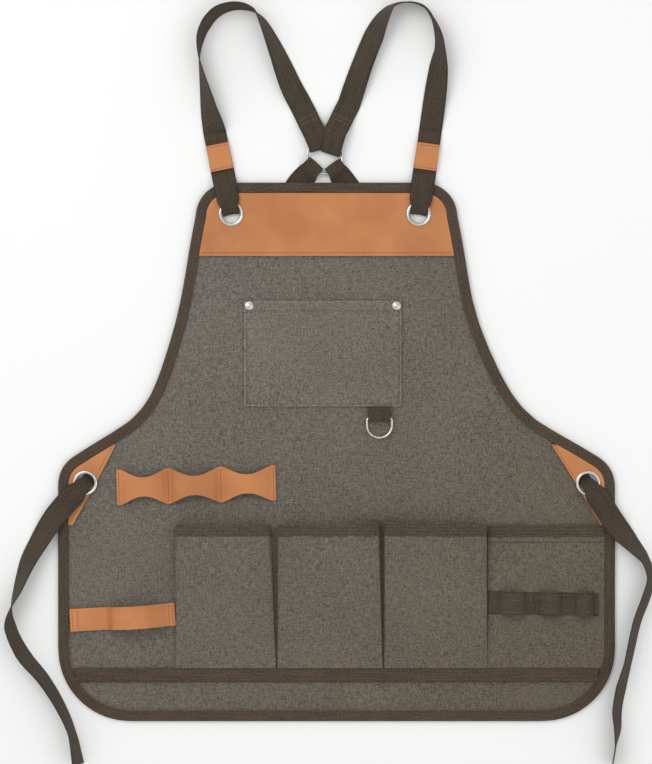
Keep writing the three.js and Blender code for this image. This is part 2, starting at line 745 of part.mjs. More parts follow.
// Webbing tab folded round the D ring's bar, and the ring itself
function ringTab() {
  const group = new THREE.Group();
  const turn = D_WIRE / 2 + CLEARANCE + TAPE / 2;
  const bar = -TAB_LENGTH + turn + TAPE / 2;
  const fold = [-90, -45, 0, 45, 90].map((degrees) => {
    const angle = radians(degrees);
    return point(0, bar - turn * Math.cos(angle), turn * Math.sin(angle));
  });
  const path = [point(0, 0, -turn), ...fold, point(0, 0, -turn + TAPE + CLEARANCE)];
  const right = point(1, 0, 0);
  add('ring_tab', webbing(path.map((at) => ({ at, right, width: TAB_WIDTH })), TAPE), tapeCloth, group);

  const half = TAB_WIDTH / 2 + CLEARANCE + D_WIRE / 2;
  const leg = D_LENGTH - half;
  const corner = 2;
  const line = [];
  for (let i = 0; i <= 12; i += 1) {
    const angle = Math.PI + (Math.PI * i) / 12;
    line.push({ x: half * Math.cos(angle), y: -leg + half * Math.sin(angle), angle });
  }
  for (const [x, turnFrom] of [[half - corner, 0], [corner - half, 90]]) {
    for (let i = 0; i <= 3; i += 1) {
      const angle = radians(turnFrom + i * 30);
      line.push({ x: x + corner * Math.cos(angle), y: -corner + corner * Math.sin(angle), angle });
    }
  }
  const rings = line.map((p) => Array.from({ length: 8 }, (_, k) => {
    const round = (Math.PI * 2 * k) / 8;
    const reach = (D_WIRE / 2) * Math.cos(round);
    const z = (D_WIRE / 2) * Math.sin(round);
    return point(p.x + Math.cos(p.angle) * reach, bar + p.y + Math.sin(p.angle) * reach, z);
  }));
  add('d_ring', skin(rings, true), nickel, group);
  group.position.set(
    TAB_CENTRE,
    CHEST_BOTTOM - CLEARANCE,
    ON_PANEL + turn + TAPE / 2 + lift(CHEST_BOTTOM),
  );
  apron.add(group);
}

// Bellows pocket: a front that stands off the body on two tucked pleats, open at the top
function bellowsPocket(pocket, left) {
  const half = (pocket.width * POCKET_WIDTH) / 2;
  const middle = left + half;
  const across = [
    { side: -1, out: 0, rise: 0 },
    { side: -1, out: 1, rise: 0.55 },
    { side: -0.95, out: 1, rise: 0.82 },
    { side: -0.6, out: 1, rise: 0.94 },
    { side: 0, out: 1, rise: 1 },
    { side: 0.6, out: 1, rise: 0.94 },
    { side: 0.95, out: 1, rise: 0.82 },
    { side: 1, out: 1, rise: 0.55 },
    { side: 1, out: 0, rise: 0 },
  ];
  const hem = 1 - HEM_HEIGHT / POCKET_HEIGHT;
  const steps = [0, 0.15, 0.35, 0.6, hem - 0.005, hem, 1];
  const thickness = steps.map((up) => (up < hem ? CANVAS : CANVAS + HEM_EXTRA));
  const rows = steps.map((up, i) => {
    const depth = POCKET_DEPTH * mix(0.1, 1, up ** 0.8);
    const tucked = 1 + PLEAT_INSET * up;
    const leaned = pocket.lean * POCKET_WIDTH * up;
    return across.map((s) => {
      const overhang = Math.max(0, tucked - CANVAS - (s.side > 0 ? leaned : 0));
      const sunk = overhang / Math.hypot(overhang, depth * across[1].rise);
      const inwards = leaned * s.out * (1 + s.side) / 2;
      const rim = s.side < 0 ? pocket.leftRise : pocket.rightRise;
      const top = HEM_HEIGHT * (Math.abs(s.side) * rim - (1 - Math.abs(s.side)) * pocket.dip);
      return point(
        middle + s.side * (half - mix(tucked, CANVAS, s.out)) - inwards,
        POCKET_BASE + CLEARANCE + up * POCKET_HEIGHT + up * top,
        ON_PANEL + depth * s.rise + (1 - s.out) * sunk * thickness[i],
      );
    });
  });
  add(pocket.name, raise(sheet(rows, thickness)), canvasCloth);
}

function pocketRow() {
  let left = POCKET_START;
  for (const pocket of POCKETS) {
    bellowsPocket(pocket, left);
    left += pocket.width * POCKET_WIDTH + PLEAT_GAP;
  }
  return left - PLEAT_GAP + CLEARANCE;
}

// Leather or webbing strip sewn down flat, with loops that stand off between its seams
function loopStrip(name, strip, material) {
  const stops = [0];
  for (const loop of strip.loops) {
    for (let i = 0; i <= strip.steps; i += 1) {
      stops.push(mix(loop.from, loop.to, i / strip.steps));
    }
  }
  stops.push(1);
  const columns = stops.map((share) => {
    const loop = strip.loops.find((l) => share > l.from && share < l.to);
    const within = loop ? (share - loop.from) / (loop.to - loop.from) : 0;
    const rise = loop ? loop.rise * strip.arch(within) : 0;
    const half = strip.width / 2 - (loop ? strip.scallop * Math.sin(Math.PI * within) ** 1.2 : 0);
    return { x: share * strip.length, half, rise };
  });
  const rows = [-1, 1].map((side) => columns.map((c) => point(c.x, side * c.half, c.rise)));
  const mesh = add(name, sheet(rows, strip.thickness), material);
  mesh.rotation.z = radians(strip.turn);
  mesh.position.set(strip.start, strip.centre, strip.level);
  return mesh;
}

const roundArch = (share) => Math.sin(Math.PI * share) ** 0.8;

// Loop that leaves its sewn end flat, creases and then stands off over a thick handle
function creasedArch(share) {
  const shape = [[0, 0], [0.34, 0.02], [0.42, 0.62], [0.55, 0.95], [0.66, 1], [0.8, 0.82], [0.92, 0.3], [1, 0]];
  const next = Math.max(1, shape.findIndex(([at]) => at >= share));
  const [a, low] = shape[next - 1];
  const [b, high] = shape[next];
  return mix(low, high, (share - a) / (b - a));
}

function loopStrips() {
  loopStrip('tool_holder', {
    start: HOLDER_INSET - SKIRT_WIDTH / 2,
    length: HOLDER_LENGTH,
    width: HOLDER_HEIGHT,
    scallop: (HOLDER_HEIGHT - HOLDER_WAIST) / 2,
    centre: WAIST_HEIGHT - HOLDER_DROP,
    turn: HOLDER_TURN,
    loops: HOLDER_LOOPS,
    steps: 10,
    arch: roundArch,
    thickness: LEATHER,
    level: ON_PANEL + LIFT,
  }, tanLeather);
  const loopStart = INNER_INSET + AXE_LOOP_GAP - SKIRT_WIDTH / 2;
  loopStrip('axe_loop', {
    start: loopStart,
    length: POCKET_START - AXE_LOOP_GAP - loopStart,
    width: AXE_LOOP_WIDTH,
    scallop: 0,
    centre: AXE_LOOP_CENTRE,
    turn: AXE_LOOP_TURN,
    loops: [{ from: 0.05, to: 0.93, rise: AXE_LOOP_RISE }],
    steps: 14,
    arch: creasedArch,
    thickness: LEATHER,
    level: ON_PANEL + LIFT * 0.55,
  }, tanLeather);
}

// Flat wide pocket at the right with its strip of three webbing loops
function stakePanel(left) {
  const low = POCKET_BASE + CLEARANCE;
  const high = POCKET_BASE + POCKET_HEIGHT;
  const hem = high - HEM_HEIGHT;
  const side = edge(INNER_INSET, low, high).filter((p) => p.y < hem - 2);
  const reach = SKIRT_WIDTH / 2 - INNER_INSET;
  side.push({ x: reach, y: hem - 0.5 }, { x: reach, y: hem }, { x: reach, y: high });
  const rows = side.map((p) => row(left, p.x, p.y, ON_PANEL, 2));
  const thickness = side.map((p) => (p.y < hem ? CANVAS : CANVAS + HEM_EXTRA));
  add('stake_panel', raise(sheet(rows, thickness)), canvasCloth);
  loopStrip('stake_loops', {
    start: left + STAKE_LOOPS_START,
    length: reach - left - STAKE_LOOPS_START - STAKE_LOOPS_GAP,
    width: WEBBING_WIDTH,
    scallop: 0,
    centre: STAKE_LOOPS_CENTRE,
    turn: STAKE_LOOPS_TURN,
    loops: STAKE_LOOPS,
    steps: 8,
    arch: roundArch,
    thickness: TAPE,
    level: ON_PANEL + CANVAS + CLEARANCE + lift(STAKE_LOOPS_CENTRE + WEBBING_WIDTH / 2),
  }, tapeCloth);
}

function baseTape() {
  const rows = field(INNER_INSET, BASE_TAPE_BOTTOM, POCKET_BASE, ON_PANEL, 2);
  add('base_tape', raise(sheet(rows, TAPE)), tapeCloth);
}

canvasPanel();
edgeBinding();
bodyLeather();
for (const hole of bibEyelets) {
  eyelet(`eyelet_bib_${sideName(hole.side)}`, hole);
}
for (const hole of waistEyelets) {
  eyelet(`eyelet_waist_${sideName(hole.side)}`, hole);
}
backRing();
shoulderStrap(-1, LEFT_STRAP, LEFT_END);
shoulderStrap(1, RIGHT_STRAP, RIGHT_END);
waistStrap(-1, LEFT_TIE, { across: 0.67, down: 0.74, aside: 1.5 });
waistStrap(1, RIGHT_TIE, { across: 0.585, down: 0.811, aside: 1.5 });
chestPocket();
ringTab();
const panelLeft = pocketRow();
loopStrips();
stakePanel(panelLeft);
baseTape();

// The origin is the middle of the whole piece's footprint, on the surface that it lies on
const box = new THREE.Box3().setFromObject(apron);
const middle = box.getCenter(new THREE.Vector3());
apron.position.set(-middle.x, -middle.y, -box.min.z);

export default apron;
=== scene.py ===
"""Gardening apron lying face up: cloth, webbing, leather and nickel pieces around its CAD frame."""

import itertools
import math

import bmesh
import bpy
from mathutils import Matrix, Vector, noise
from mathutils.bvhtree import BVHTree


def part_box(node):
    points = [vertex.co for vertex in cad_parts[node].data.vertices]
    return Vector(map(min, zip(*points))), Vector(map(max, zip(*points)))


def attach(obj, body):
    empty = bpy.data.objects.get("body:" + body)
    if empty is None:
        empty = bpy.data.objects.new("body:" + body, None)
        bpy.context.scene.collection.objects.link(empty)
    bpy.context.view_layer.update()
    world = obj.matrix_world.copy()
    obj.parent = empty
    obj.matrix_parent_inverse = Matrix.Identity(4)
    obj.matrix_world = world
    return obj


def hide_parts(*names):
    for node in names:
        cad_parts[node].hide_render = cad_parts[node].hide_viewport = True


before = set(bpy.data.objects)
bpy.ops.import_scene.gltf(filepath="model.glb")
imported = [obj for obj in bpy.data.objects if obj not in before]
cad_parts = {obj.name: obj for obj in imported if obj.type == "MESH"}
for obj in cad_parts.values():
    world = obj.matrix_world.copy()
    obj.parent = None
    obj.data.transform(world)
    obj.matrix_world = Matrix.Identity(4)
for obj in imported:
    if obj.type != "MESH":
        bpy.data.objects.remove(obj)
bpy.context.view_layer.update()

bl_info = {
    "name": "Gardening apron",
    "version": (1, 0, 0),
    "blender": (4, 5, 0),
    "location": "View3D > Sidebar > Apron",
    "description": "Builds the looks of a canvas work apron around its CAD frame",
    "category": "Object",
}

MM = 0.001
BODY = "root"

# Walls of the real pieces
CANVAS = 1.2 * MM
TAPE = 1.4 * MM
LEATHER = 1.8 * MM
BINDING_HEIGHT = 4.6 * MM
BINDING_REACH = 11.5 * MM

# Flat part of an eyelet round its hole, and its metal
EYELET_FLANGE = 3.25 * MM
EYELET_METAL = 0.9 * MM

# Seams: distance from an edge, and pitch of the stitches where they are closer than on the cloth
SEAM_IN = 3 * MM
CLOSE_PITCH = 3.3 * MM

# A stitch's length as a share of its pitch, and its height as a share of its width
STITCH_LENGTH = 0.62
STITCH_HEIGHT = 0.7

# Two sewn bars across the shoulder straps above the ring: their middle along Y, half their distance, and
# how far from the middle of the apron the straps are there at the most
STRAP_BAR = 290.6 * MM
STRAP_BAR_APART = 2.2 * MM
STRAP_BAR_REACH = 60 * MM

# Hems: width of the painted highlight along the chest pocket's turned edge, dark band at the pockets' tops,
# doubled cloth beneath it, and the wide pocket's broader band with its three seams
TURNED_EDGE = 1.4 * MM
HEM_BAND = 12 * MM
HEM_CLOTH = 18 * MM
WIDE_HEM_BAND = 14 * MM
WIDE_HEM_SEAMS = (3 * MM, 8 * MM, 13 * MM)

# Webbing: half its width, its chevrons and ribs, and the width of the darker band along each edge
HALF_WEBBING = 12.5 * MM
CHEVRON = 3.1 * MM
RIB = 1.25 * MM
DARK_EDGE_BAND = 2.2 * MM

# Tones of the body's colour for the chest pocket, for the painted highlight on its turned edge and for the
# hems, whose dark tone is also painted shade on the pockets' tucked sides, and the ribs of the hems
CHEST_TONE = (1.1, 1.1, 1.1)
TURNED_EDGE_HIGHLIGHT_TONE = (1.38, 1.36, 1.32)
HEM_AND_PLEAT_SHADE_TONE = (0.52, 0.46, 0.37)
HEM_RIBS = 3.6 * MM
BAR_THREAD_TONE = 4

# Span in which most of a noise lies
NOISE_SPAN = (0.3, 0.7)

# Light: strength of the sky, then each lamp's name, place, width and power
SKY_STRENGTH = 0.8
LAMPS = (
    ("key", (-1.1, 1.0, 1.9), 1.6, 16.0),
    ("fill", (1.3, -0.6, 2.0), 1.8, 6.0),
)

# Height and middle of the floor that the photograph shows, and the height of the camera
FRAME_HEIGHT = 840.4 * MM
VIEW_CENTRE = (-4.95 * MM, 1.3 * MM)
CAMERA_HEIGHT = 3.0
SENSOR = 36.0


class ApronSettings(bpy.types.PropertyGroup):
    """Sizes and colours of the apron's cloth, webbing, leather and metal"""

    canvas_colour: bpy.props.FloatVectorProperty(
        name="Canvas colour", description="Middle colour of the body cloth",
        default=(0.149, 0.129, 0.105), subtype="COLOR", size=3, min=0, max=1)
    webbing_colour: bpy.props.FloatVectorProperty(
        name="Webbing colour", description="Colour of the straps and ties",
        default=(0.07, 0.0475, 0.027), subtype="COLOR", size=3, min=0, max=1)
    binding_colour: bpy.props.FloatVectorProperty(
        name="Binding colour", description="Colour of the tape along the edge and the foot",
        default=(0.092, 0.061, 0.036), subtype="COLOR", size=3, min=0, max=1)
    loop_colour: bpy.props.FloatVectorProperty(
        name="Loop colour", description="Colour of the strip of webbing loops",
        default=(0.082, 0.064, 0.037), subtype="COLOR", size=3, min=0, max=1)
    leather_colour: bpy.props.FloatVectorProperty(
        name="Leather colour", description="Colour of the tan leather",
        default=(0.51, 0.192, 0.06), subtype="COLOR", size=3, min=0, max=1)
    nickel_colour: bpy.props.FloatVectorProperty(
        name="Nickel colour", description="Colour of the eyelets, rings and rivets",
        default=(0.62, 0.6, 0.57), subtype="COLOR", size=3, min=0, max=1)
    thread_colour: bpy.props.FloatVectorProperty(
        name="Thread colour", description="Colour of the stitching on the cloth",
        default=(0.048, 0.039, 0.028), subtype="COLOR", size=3, min=0, max=1)
    leather_thread_colour: bpy.props.FloatVectorProperty(
        name="Leather thread colour", description="Colour of the stitching on the leather",
        default=(0.13, 0.045, 0.018), subtype="COLOR", size=3, min=0, max=1)
    thread_pitch: bpy.props.FloatProperty(
        name="Thread pitch", description="Distance between threads of the canvas",
        default=1.1 * MM, unit="LENGTH", min=0.3 * MM, max=4 * MM, precision=4)
    ripple: bpy.props.FloatProperty(
        name="Ripple", description="Depth of the soft hollows in the cloth",
        default=1.1 * MM, unit="LENGTH", min=0, max=1.5 * MM, precision=4)
    stitch_pitch: bpy.props.FloatProperty(
        name="Stitch pitch", description="Distance from one stitch to the next",
        default=3.6 * MM, unit="LENGTH", min=1.5 * MM, max=8 * MM, precision=4)
    stitch_width: bpy.props.FloatProperty(
        name="Stitch width", description="Thickness of the sewing thread",
        default=0.95 * MM, unit="LENGTH", min=0.2 * MM, max=2 * MM, precision=4)
    floor_colour: bpy.props.FloatVectorProperty(
        name="Floor colour", description="Colour of the floor",
        default=(0.9, 0.9, 0.895), subtype="COLOR", size=3, min=0, max=1)


def settings():
    return bpy.context.scene.apron_settings


class Finish:
    """Node material with short calls for its nodes and links"""

    def __init__(self, name, roughness, metallic=0.0, sheen=0.0):
        self.material = bpy.data.materials.new(name)
        self.material.use_nodes = True
        self.tree = self.material.node_tree
        self.shader = self.tree.nodes["Principled BSDF"]
        self.shader.inputs["Roughness"].default_value = roughness
        self.shader.inputs["Metallic"].default_value = metallic
        self.shader.inputs["Sheen Weight"].default_value = sheen

    def node(self, kind, inputs=(), **values):
        made = self.tree.nodes.new(kind)
        for key, value in values.items():
            setattr(made, key, value)
        for key, value in dict(inputs).items():
            if isinstance(value, bpy.types.NodeSocket):
                self.tree.links.new(value, made.inputs[key])
            else:
                made.inputs[key].default_value = value
        return made

    def math(self, operation, first, second=0.0):
        return self.node("ShaderNodeMath", {0: first, 1: second}, operation=operation).outputs[0]

    def place(self, on_cloth):
        """Coordinates in metres: along the piece's own cloth, or in the apron's frame"""
        if on_cloth:
            return self.node("ShaderNodeUVMap", uv_map="cloth").outputs[0]
        return self.node("ShaderNodeTexCoord").outputs["Object"]

    def scaled(self, place, scale, turn=0.0):
        made = self.node("ShaderNodeMapping", {"Vector": place, "Scale": scale, "Rotation": (0, 0, turn)})
        return made.outputs[0]

    def noise(self, place, scale, detail=2.0):
        made = self.node("ShaderNodeTexNoise", {"Vector": place, "Scale": scale, "Detail": detail})
        return made.outputs["Fac"]

    def ranged(self, value, low, high, low_to, high_to):
        inputs = {"Value": value, "From Min": low, "From Max": high, "To Min": low_to, "To Max": high_to}
        return self.node("ShaderNodeMapRange", inputs).outputs[0]

    def wave(self, place, pitch, direction):
        """Threads or ribs side by side, at a pitch in metres"""
        bands = 2 * math.pi / 20
        made = self.node("ShaderNodeTexWave", {"Vector": place, "Scale": bands / pitch},
                         bands_direction=direction)
        return made.outputs["Fac"]

    def shade(self, colour, factor):
        """Colour made lighter or darker by a factor round one"""
        made = self.node("ShaderNodeVectorMath", {"Scale": factor}, operation="SCALE")
        if isinstance(colour, bpy.types.NodeSocket):
            self.tree.links.new(colour, made.inputs[0])
        else:
            made.inputs[0].default_value = colour[:3]
        return made.outputs[0]

    def blend(self, factor, first, second):
        made = self.node("ShaderNodeMix", data_type="RGBA")
        for socket, value in ((made.inputs[0], factor), (made.inputs[6], first), (made.inputs[7], second)):
            if isinstance(value, bpy.types.NodeSocket):
                self.tree.links.new(value, socket)
            else:
                socket.default_value = value
        return made.outputs[2]

    def spanned(self, noise, low_to, high_to):
        """Noise stretched from its usual span to another"""
        return self.ranged(noise, *NOISE_SPAN, low_to, high_to)

    def bump(self, height, depth):
        made = self.node("ShaderNodeBump", {"Height": height, "Distance": depth})
        self.tree.links.new(made.outputs[0], self.shader.inputs["Normal"])

    def colour(self, socket):
        self.tree.links.new(socket, self.shader.inputs["Base Color"])

    def roughness(self, socket):
        self.tree.links.new(socket, self.shader.inputs["Roughness"])


def rgba(colour):
    return (*colour, 1.0)


def canvas_finish(name, tone=(1.0, 1.0, 1.0), ribs=0.0):
    """Heathered canvas: crossing threads, slubs both ways, soft blotches, ribs where it is a hem, and painted
    light: lighter and cooler towards the upper left, darker and warmer towards the lower right
    """
    look = Finish(name, 0.93, sheen=0.1)
    place = look.place(False)
    pitch = settings().thread_pitch
    base = [c * t for c, t in zip(settings().canvas_colour, tone)]
    shaded_warm = rgba([c * k for c, k in zip(base, (0.98, 0.93, 0.8))])
    lit_cool = rgba([c * k for c, k in zip(base, (1.0, 1.03, 1.12))])
    across = look.noise(look.scaled(place, (560, 120, 1)), 1.0, 2.0)
    along = look.noise(look.scaled(place, (120, 560, 1)), 1.0, 2.0)
    speck = look.noise(place, 560, 3.0)
    blotch = look.noise(place, 11, 2.0)
    slubs = look.math("ADD", look.spanned(across, -0.16, 0.16), look.spanned(along, -0.16, 0.16))
    light = look.math("ADD", slubs, look.spanned(speck, 0.55, 1.45))
    light = look.math("ADD", light, look.spanned(blotch, -0.07, 0.07))
    if ribs:
        lines = look.wave(place, ribs, "Y")
        light = look.math("ADD", light, look.ranged(lines, 0.0, 1.0, -0.16, 0.16))
    apart = look.node("ShaderNodeSeparateXYZ", {"Vector": place})
    # Painted light falloff across the cloth: lighter and cooler towards the upper left, where the key lamp
    # stands, darker and warmer towards the lower right
    slant = look.math("SUBTRACT", apart.outputs["X"], apart.outputs["Y"])
    painted_falloff_tint = look.blend(look.ranged(slant, -0.42, 0.55, 0.0, 1.0), lit_cool, shaded_warm)
    painted_falloff = look.ranged(slant, -0.42, 0.55, 1.16, 0.86)
    look.colour(look.shade(painted_falloff_tint, look.math("MULTIPLY", light, painted_falloff)))
    weave = look.math("MULTIPLY", look.wave(place, pitch, "X"), look.wave(place, pitch, "Y"))
    height = look.math("ADD", weave, look.math("MULTIPLY", look.math("ADD", across, along), 0.9))
    height = look.math("ADD", height, look.math("MULTIPLY", blotch, 2.0))
    look.bump(height, 0.45 * MM)
    return look.material


def webbing_finish(name, colour):
    """Ribbed cotton webbing: fine ribs in a herringbone, long streaks and a darker band along both edges"""
    look = Finish(name, 0.9, sheen=0.05)
    place = look.place(True)
    apart = look.node("ShaderNodeSeparateXYZ", {"Vector": place})
    chevron = look.math("PINGPONG", apart.outputs["Y"], CHEVRON)
    rib = look.math("ADD", apart.outputs["X"], chevron)
    ribs = look.math("SINE", look.math("MULTIPLY", rib, 2 * math.pi / RIB))
    speck = look.noise(place, 480, 2.0)
    cloud = look.noise(place, 45, 2.0)
    streak = look.noise(look.scaled(place, (22, 620, 1)), 1.0, 2.0)
    light = look.math("ADD", look.spanned(speck, 0.62, 1.38), look.math("MULTIPLY", ribs, 0.16))
    light = look.math("ADD", light, look.spanned(cloud, -0.1, 0.1))
    light = look.math("ADD", light, look.spanned(streak, -0.26, 0.26))
    inwards = look.math("PINGPONG", apart.outputs["Y"], HALF_WEBBING)
    light = look.math("ADD", light, look.ranged(inwards, 0.0, DARK_EDGE_BAND, -0.3, 0.0))
    look.colour(look.shade(rgba(colour), light))
    look.bump(look.math("ADD", ribs, look.math("MULTIPLY", speck, 1.5)), 0.3 * MM)
    return look.material


def leather_finish():
    """Smooth tan leather with soft mottling and a fine grain"""
    look = Finish("tan_leather", 0.56)
    place = look.place(False)
    cloud = look.noise(place, 26, 4.0)
    patch = look.noise(place, 9, 2.0)
    grain = look.node("ShaderNodeTexVoronoi", {"Vector": place, "Scale": 1150.0}, feature="F1")
    base = settings().leather_colour
    deep = rgba([c * k for c, k in zip(base, (0.9, 0.84, 0.78))])
    pale = rgba([c * k for c, k in zip(base, (1.06, 1.11, 1.16))])
    mixed = look.blend(look.ranged(cloud, 0.35, 0.68, 0.0, 1.0), deep, pale)
    look.colour(look.shade(mixed, look.spanned(patch, 0.92, 1.08)))
    look.roughness(look.spanned(cloud, 0.5, 0.64))
    height = look.math("ADD", grain.outputs["Distance"], look.math("MULTIPLY", cloud, 1.6))
    look.bump(height, 0.22 * MM)
    return look.material


def nickel_finish():
    """Satin nickel with faint scuffs"""
    look = Finish("nickel", 0.24, metallic=1.0)
    place = look.place(False)
    scuff = look.noise(look.scaled(place, (900, 160, 300)), 1.0, 3.0)
    base = settings().nickel_colour
    look.colour(look.shade(rgba(base), look.spanned(scuff, 0.85, 1.1)))
    look.roughness(look.spanned(scuff, 0.16, 0.36))
    look.bump(scuff, 0.05 * MM)
    return look.material


def thread_finish(name, colour):
    """Twisted sewing thread"""
    look = Finish(name, 0.7, sheen=0.3)
    place = look.place(False)
    ply = look.noise(place, 1500, 1.0)
    look.colour(look.shade(rgba(colour), look.spanned(ply, 0.7, 1.35)))
    look.bump(ply, 0.1 * MM)
    return look.material


FINISHES = {}


def finish_named(name):
    """Material of that name, made when it is first asked for"""
    bar_colour = [c * BAR_THREAD_TONE for c in settings().thread_colour]
    makers = {
        "canvas": lambda: canvas_finish("canvas"),
        "chest_canvas": lambda: canvas_finish("chest_canvas", CHEST_TONE),
        "turned_edge_highlight_canvas": lambda: canvas_finish("turned_edge_highlight_canvas", TURNED_EDGE_HIGHLIGHT_TONE),
        "hem_and_pleat_shade_canvas": lambda: canvas_finish("hem_and_pleat_shade_canvas", HEM_AND_PLEAT_SHADE_TONE, HEM_RIBS),
        "webbing": lambda: webbing_finish("webbing", settings().webbing_colour),
        "binding_tape": lambda: webbing_finish("binding_tape", settings().binding_colour),
        "loop_webbing": lambda: webbing_finish("loop_webbing", settings().loop_colour),
        "leather": leather_finish,
        "nickel": nickel_finish,
        "thread": lambda: thread_finish("thread", settings().thread_colour),
        "bar_thread": lambda: thread_finish("bar_thread", bar_colour),
        "leather_thread": lambda: thread_finish("leather_thread", settings().leather_thread_colour),
    }
    if name not in FINISHES:
        FINISHES[name] = makers[name]()
    return FINISHES[name]


def to_piece(name, bm, finish, slot, nodes=(), second=None):
    """Object of a finished bmesh, riding on the body and standing for its CAD nodes"""
    mesh = bpy.data.meshes.new(name)
    bm.to_mesh(mesh)
    bm.free()
    mesh.shade_smooth()
    mesh.materials.append(finish_named(finish))
    if second:
        mesh.materials.append(finish_named(second))
    obj = bpy.data.objects.new(name, mesh)
    bpy.context.scene.collection.objects.link(obj)
    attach(obj, BODY)
    if nodes:
        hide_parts(*nodes)
    return obj


def wall(obj, thickness, offset, edge):
    """Gives a sheet its thickness and soft edges"""
    solid = obj.modifiers.new("wall", "SOLIDIFY")
    solid.thickness = thickness
    solid.offset = offset
    soft = obj.modifiers.new("soft edge", "BEVEL")
    soft.width = edge
    soft.segments = 2
    soft.limit_method = "ANGLE"
    soft.angle_limit = math.radians(50)
    soft.harden_normals = True


def node_copy(node):
    """Merged copy of a CAD node's mesh"""
    bm = bmesh.new()
    bm.from_mesh(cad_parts[node].data)
    bmesh.ops.remove_doubles(bm, verts=bm.verts, dist=0.01 * MM)
    bm.normal_update()
    return bm


def upper_side(node, above=0.0):
    """Upward faces of a CAD node that lie above a height"""
    bm = node_copy(node)
    hidden = [f for f in bm.faces if f.normal.z < 0.5 or f.calc_center_median().z < above]
    bmesh.ops.delete(bm, geom=hidden, context="FACES")
    return bm


def cut_finely(bm, step):
    """Cuts a sheet into cells by planes across X and Y"""
    for axis in (0, 1):
        places = [v.co[axis] for v in bm.verts]
        normal = Vector((0, 0, 0))
        normal[axis] = 1
        count = int((max(places) - min(places)) / step)
        for i in range(1, count + 1):
            at = normal * (min(places) + i * step)
            geometry = bm.verts[:] + bm.edges[:] + bm.faces[:]
            bmesh.ops.bisect_plane(bm, geom=geometry, dist=0.005 * MM, plane_co=at, plane_no=normal)


def hollow(x, y, depth):
    """Soft hollow of the cloth at a place, never above its flat level"""
    wide = noise.noise(Vector((x * 9, y * 7, 3.1)))
    small = noise.noise(Vector((x * 24, y * 21, 7.7)))
    return -depth * (0.5 + 0.42 * wide + 0.2 * small)


def surface_of(*nodes):
    """Function that gives the height of the CAD nodes' upper side at a place"""
    bm = bmesh.new()
    for node in nodes:
        bm.from_mesh(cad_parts[node].data)
    tree = BVHTree.FromBMesh(bm)
    bm.free()

    def height(x, y):
        hit = tree.ray_cast(Vector((x, y, 1.0)), Vector((0, 0, -1)))[0]
        return hit.z if hit else 0.0

    return height


def spread(points, step, closed=False):
    """The same line with points at even steps"""
    line = list(points) + ([points[0]] if closed else [])
    lengths = [0.0]
    for a, b in zip(line, line[1:]):
        lengths.append(lengths[-1] + (b - a).length)
    count = max(1, round(lengths[-1] / step))
    result = []
    k = 0
    for i in range(count if closed else count + 1):
        at = lengths[-1] * i / count
        while k < len(line) - 2 and lengths[k + 1] < at:
            k += 1
        share = (at - lengths[k]) / max(lengths[k + 1] - lengths[k], 1e-9)
        result.append(line[k].lerp(line[k + 1], min(1.0, share)))
    return result


def boundary_rings(bm):
    """Ordered rings of the boundary's points, the longest first"""
    bm.edges.index_update()
    left = {e for e in bm.edges if e.is_boundary}
    rings = []
    while left:
        edge = min(left, key=lambda e: e.index)
        left.remove(edge)
        start, at = edge.verts
        ring = [start.co.copy()]
        while at is not start:
            ring.append(at.co.copy())
            edge = next(e for e in at.link_edges if e in left)
            left.remove(edge)
            at = edge.other_vert(at)
        rings.append(ring)
    length = lambda ring: sum((a - b).length for a, b in zip(ring, ring[1:] + ring[:1]))
    return sorted(rings, key=length, reverse=True)


def strip_edges(node):
    """Left and right edge lines of a CAD strip of four-cornered sections, from its end with the highest Y"""
    bm = node_copy(node)
    ends = {v for v in bm.verts if len(v.link_edges) < 6}
    start = max(ends, key=lambda v: (v.co.y, v.co.x, v.co.z))
    # Corners are found along edges, because the other end of a folded strip may lie nearer
    joined = {start}
    for _ in range(3):
        joined |= {e.other_vert(v) for v in joined for e in v.link_edges} & ends
    ring = sorted(joined, key=lambda v: (v.co - start.co).length)[:4]
    seen = set(ring)
    rings = [ring]
    while True:
        found = {e.other_vert(v) for v in ring for e in v.link_edges} - seen
        if not found:
            break
        orders = itertools.permutations(found)
        ring = min(orders, key=lambda order: sum((a.co - b.co).length for a, b in zip(ring, order)))
        seen |= found
        rings.append(ring)
    first = rings[0]
    partner = min(range(1, 4), key=lambda k: (first[k].co - first[0].co).length)
    others = [k for k in range(1, 4) if k != partner]
    one = [(r[0].co + r[partner].co) / 2 for r in rings]
    two = [(r[others[0]].co + r[others[1]].co) / 2 for r in rings]
    bm.free()
    return one, two


def curve_through(lines, step):
    """Smooth run through the points of several lines at once, kept in step with each other"""
    points = [sum(p, Vector((0, 0, 0))) / len(p) for p in zip(*lines)]
    knots = [0.0]
    for a, b in zip(points, points[1:]):
        knots.append(knots[-1] + max((b - a).length, 0.05 * MM) ** 0.5)

    def at(line, i, t):
        picks = [max(i - 1, 0), i, i + 1, min(i + 2, len(line) - 1)]
        p = [line[k] for k in picks]
        k = [knots[j] for j in picks]
        if picks[0] == picks[1]:
            k[0] = k[1] - (k[2] - k[1])
            p[0] = p[1] * 2 - p[2]
        if picks[3] == picks[2]:
            k[3] = k[2] + (k[2] - k[1])
            p[3] = p[2] * 2 - p[1]
        a = [p[j].lerp(p[j + 1], (t - k[j]) / (k[j + 1] - k[j])) for j in range(3)]
        b = [a[j].lerp(a[j + 1], (t - k[j]) / (k[j + 2] - k[j])) for j in range(2)]
        return b[0].lerp(b[1], (t - k[1]) / (k[2] - k[1]))

    result = [[] for _ in lines]
    for i in range(len(points) - 1):
        pieces = max(1, math.ceil((points[i + 1] - points[i]).length / step))
        for j in range(pieces):
            t = knots[i] + (knots[i + 1] - knots[i]) * j / pieces
            for line, out in zip(lines, result):
                out.append(at(line, i, t))
    for line, out in zip(lines, result):
        out.append(line[-1].copy())
    return result


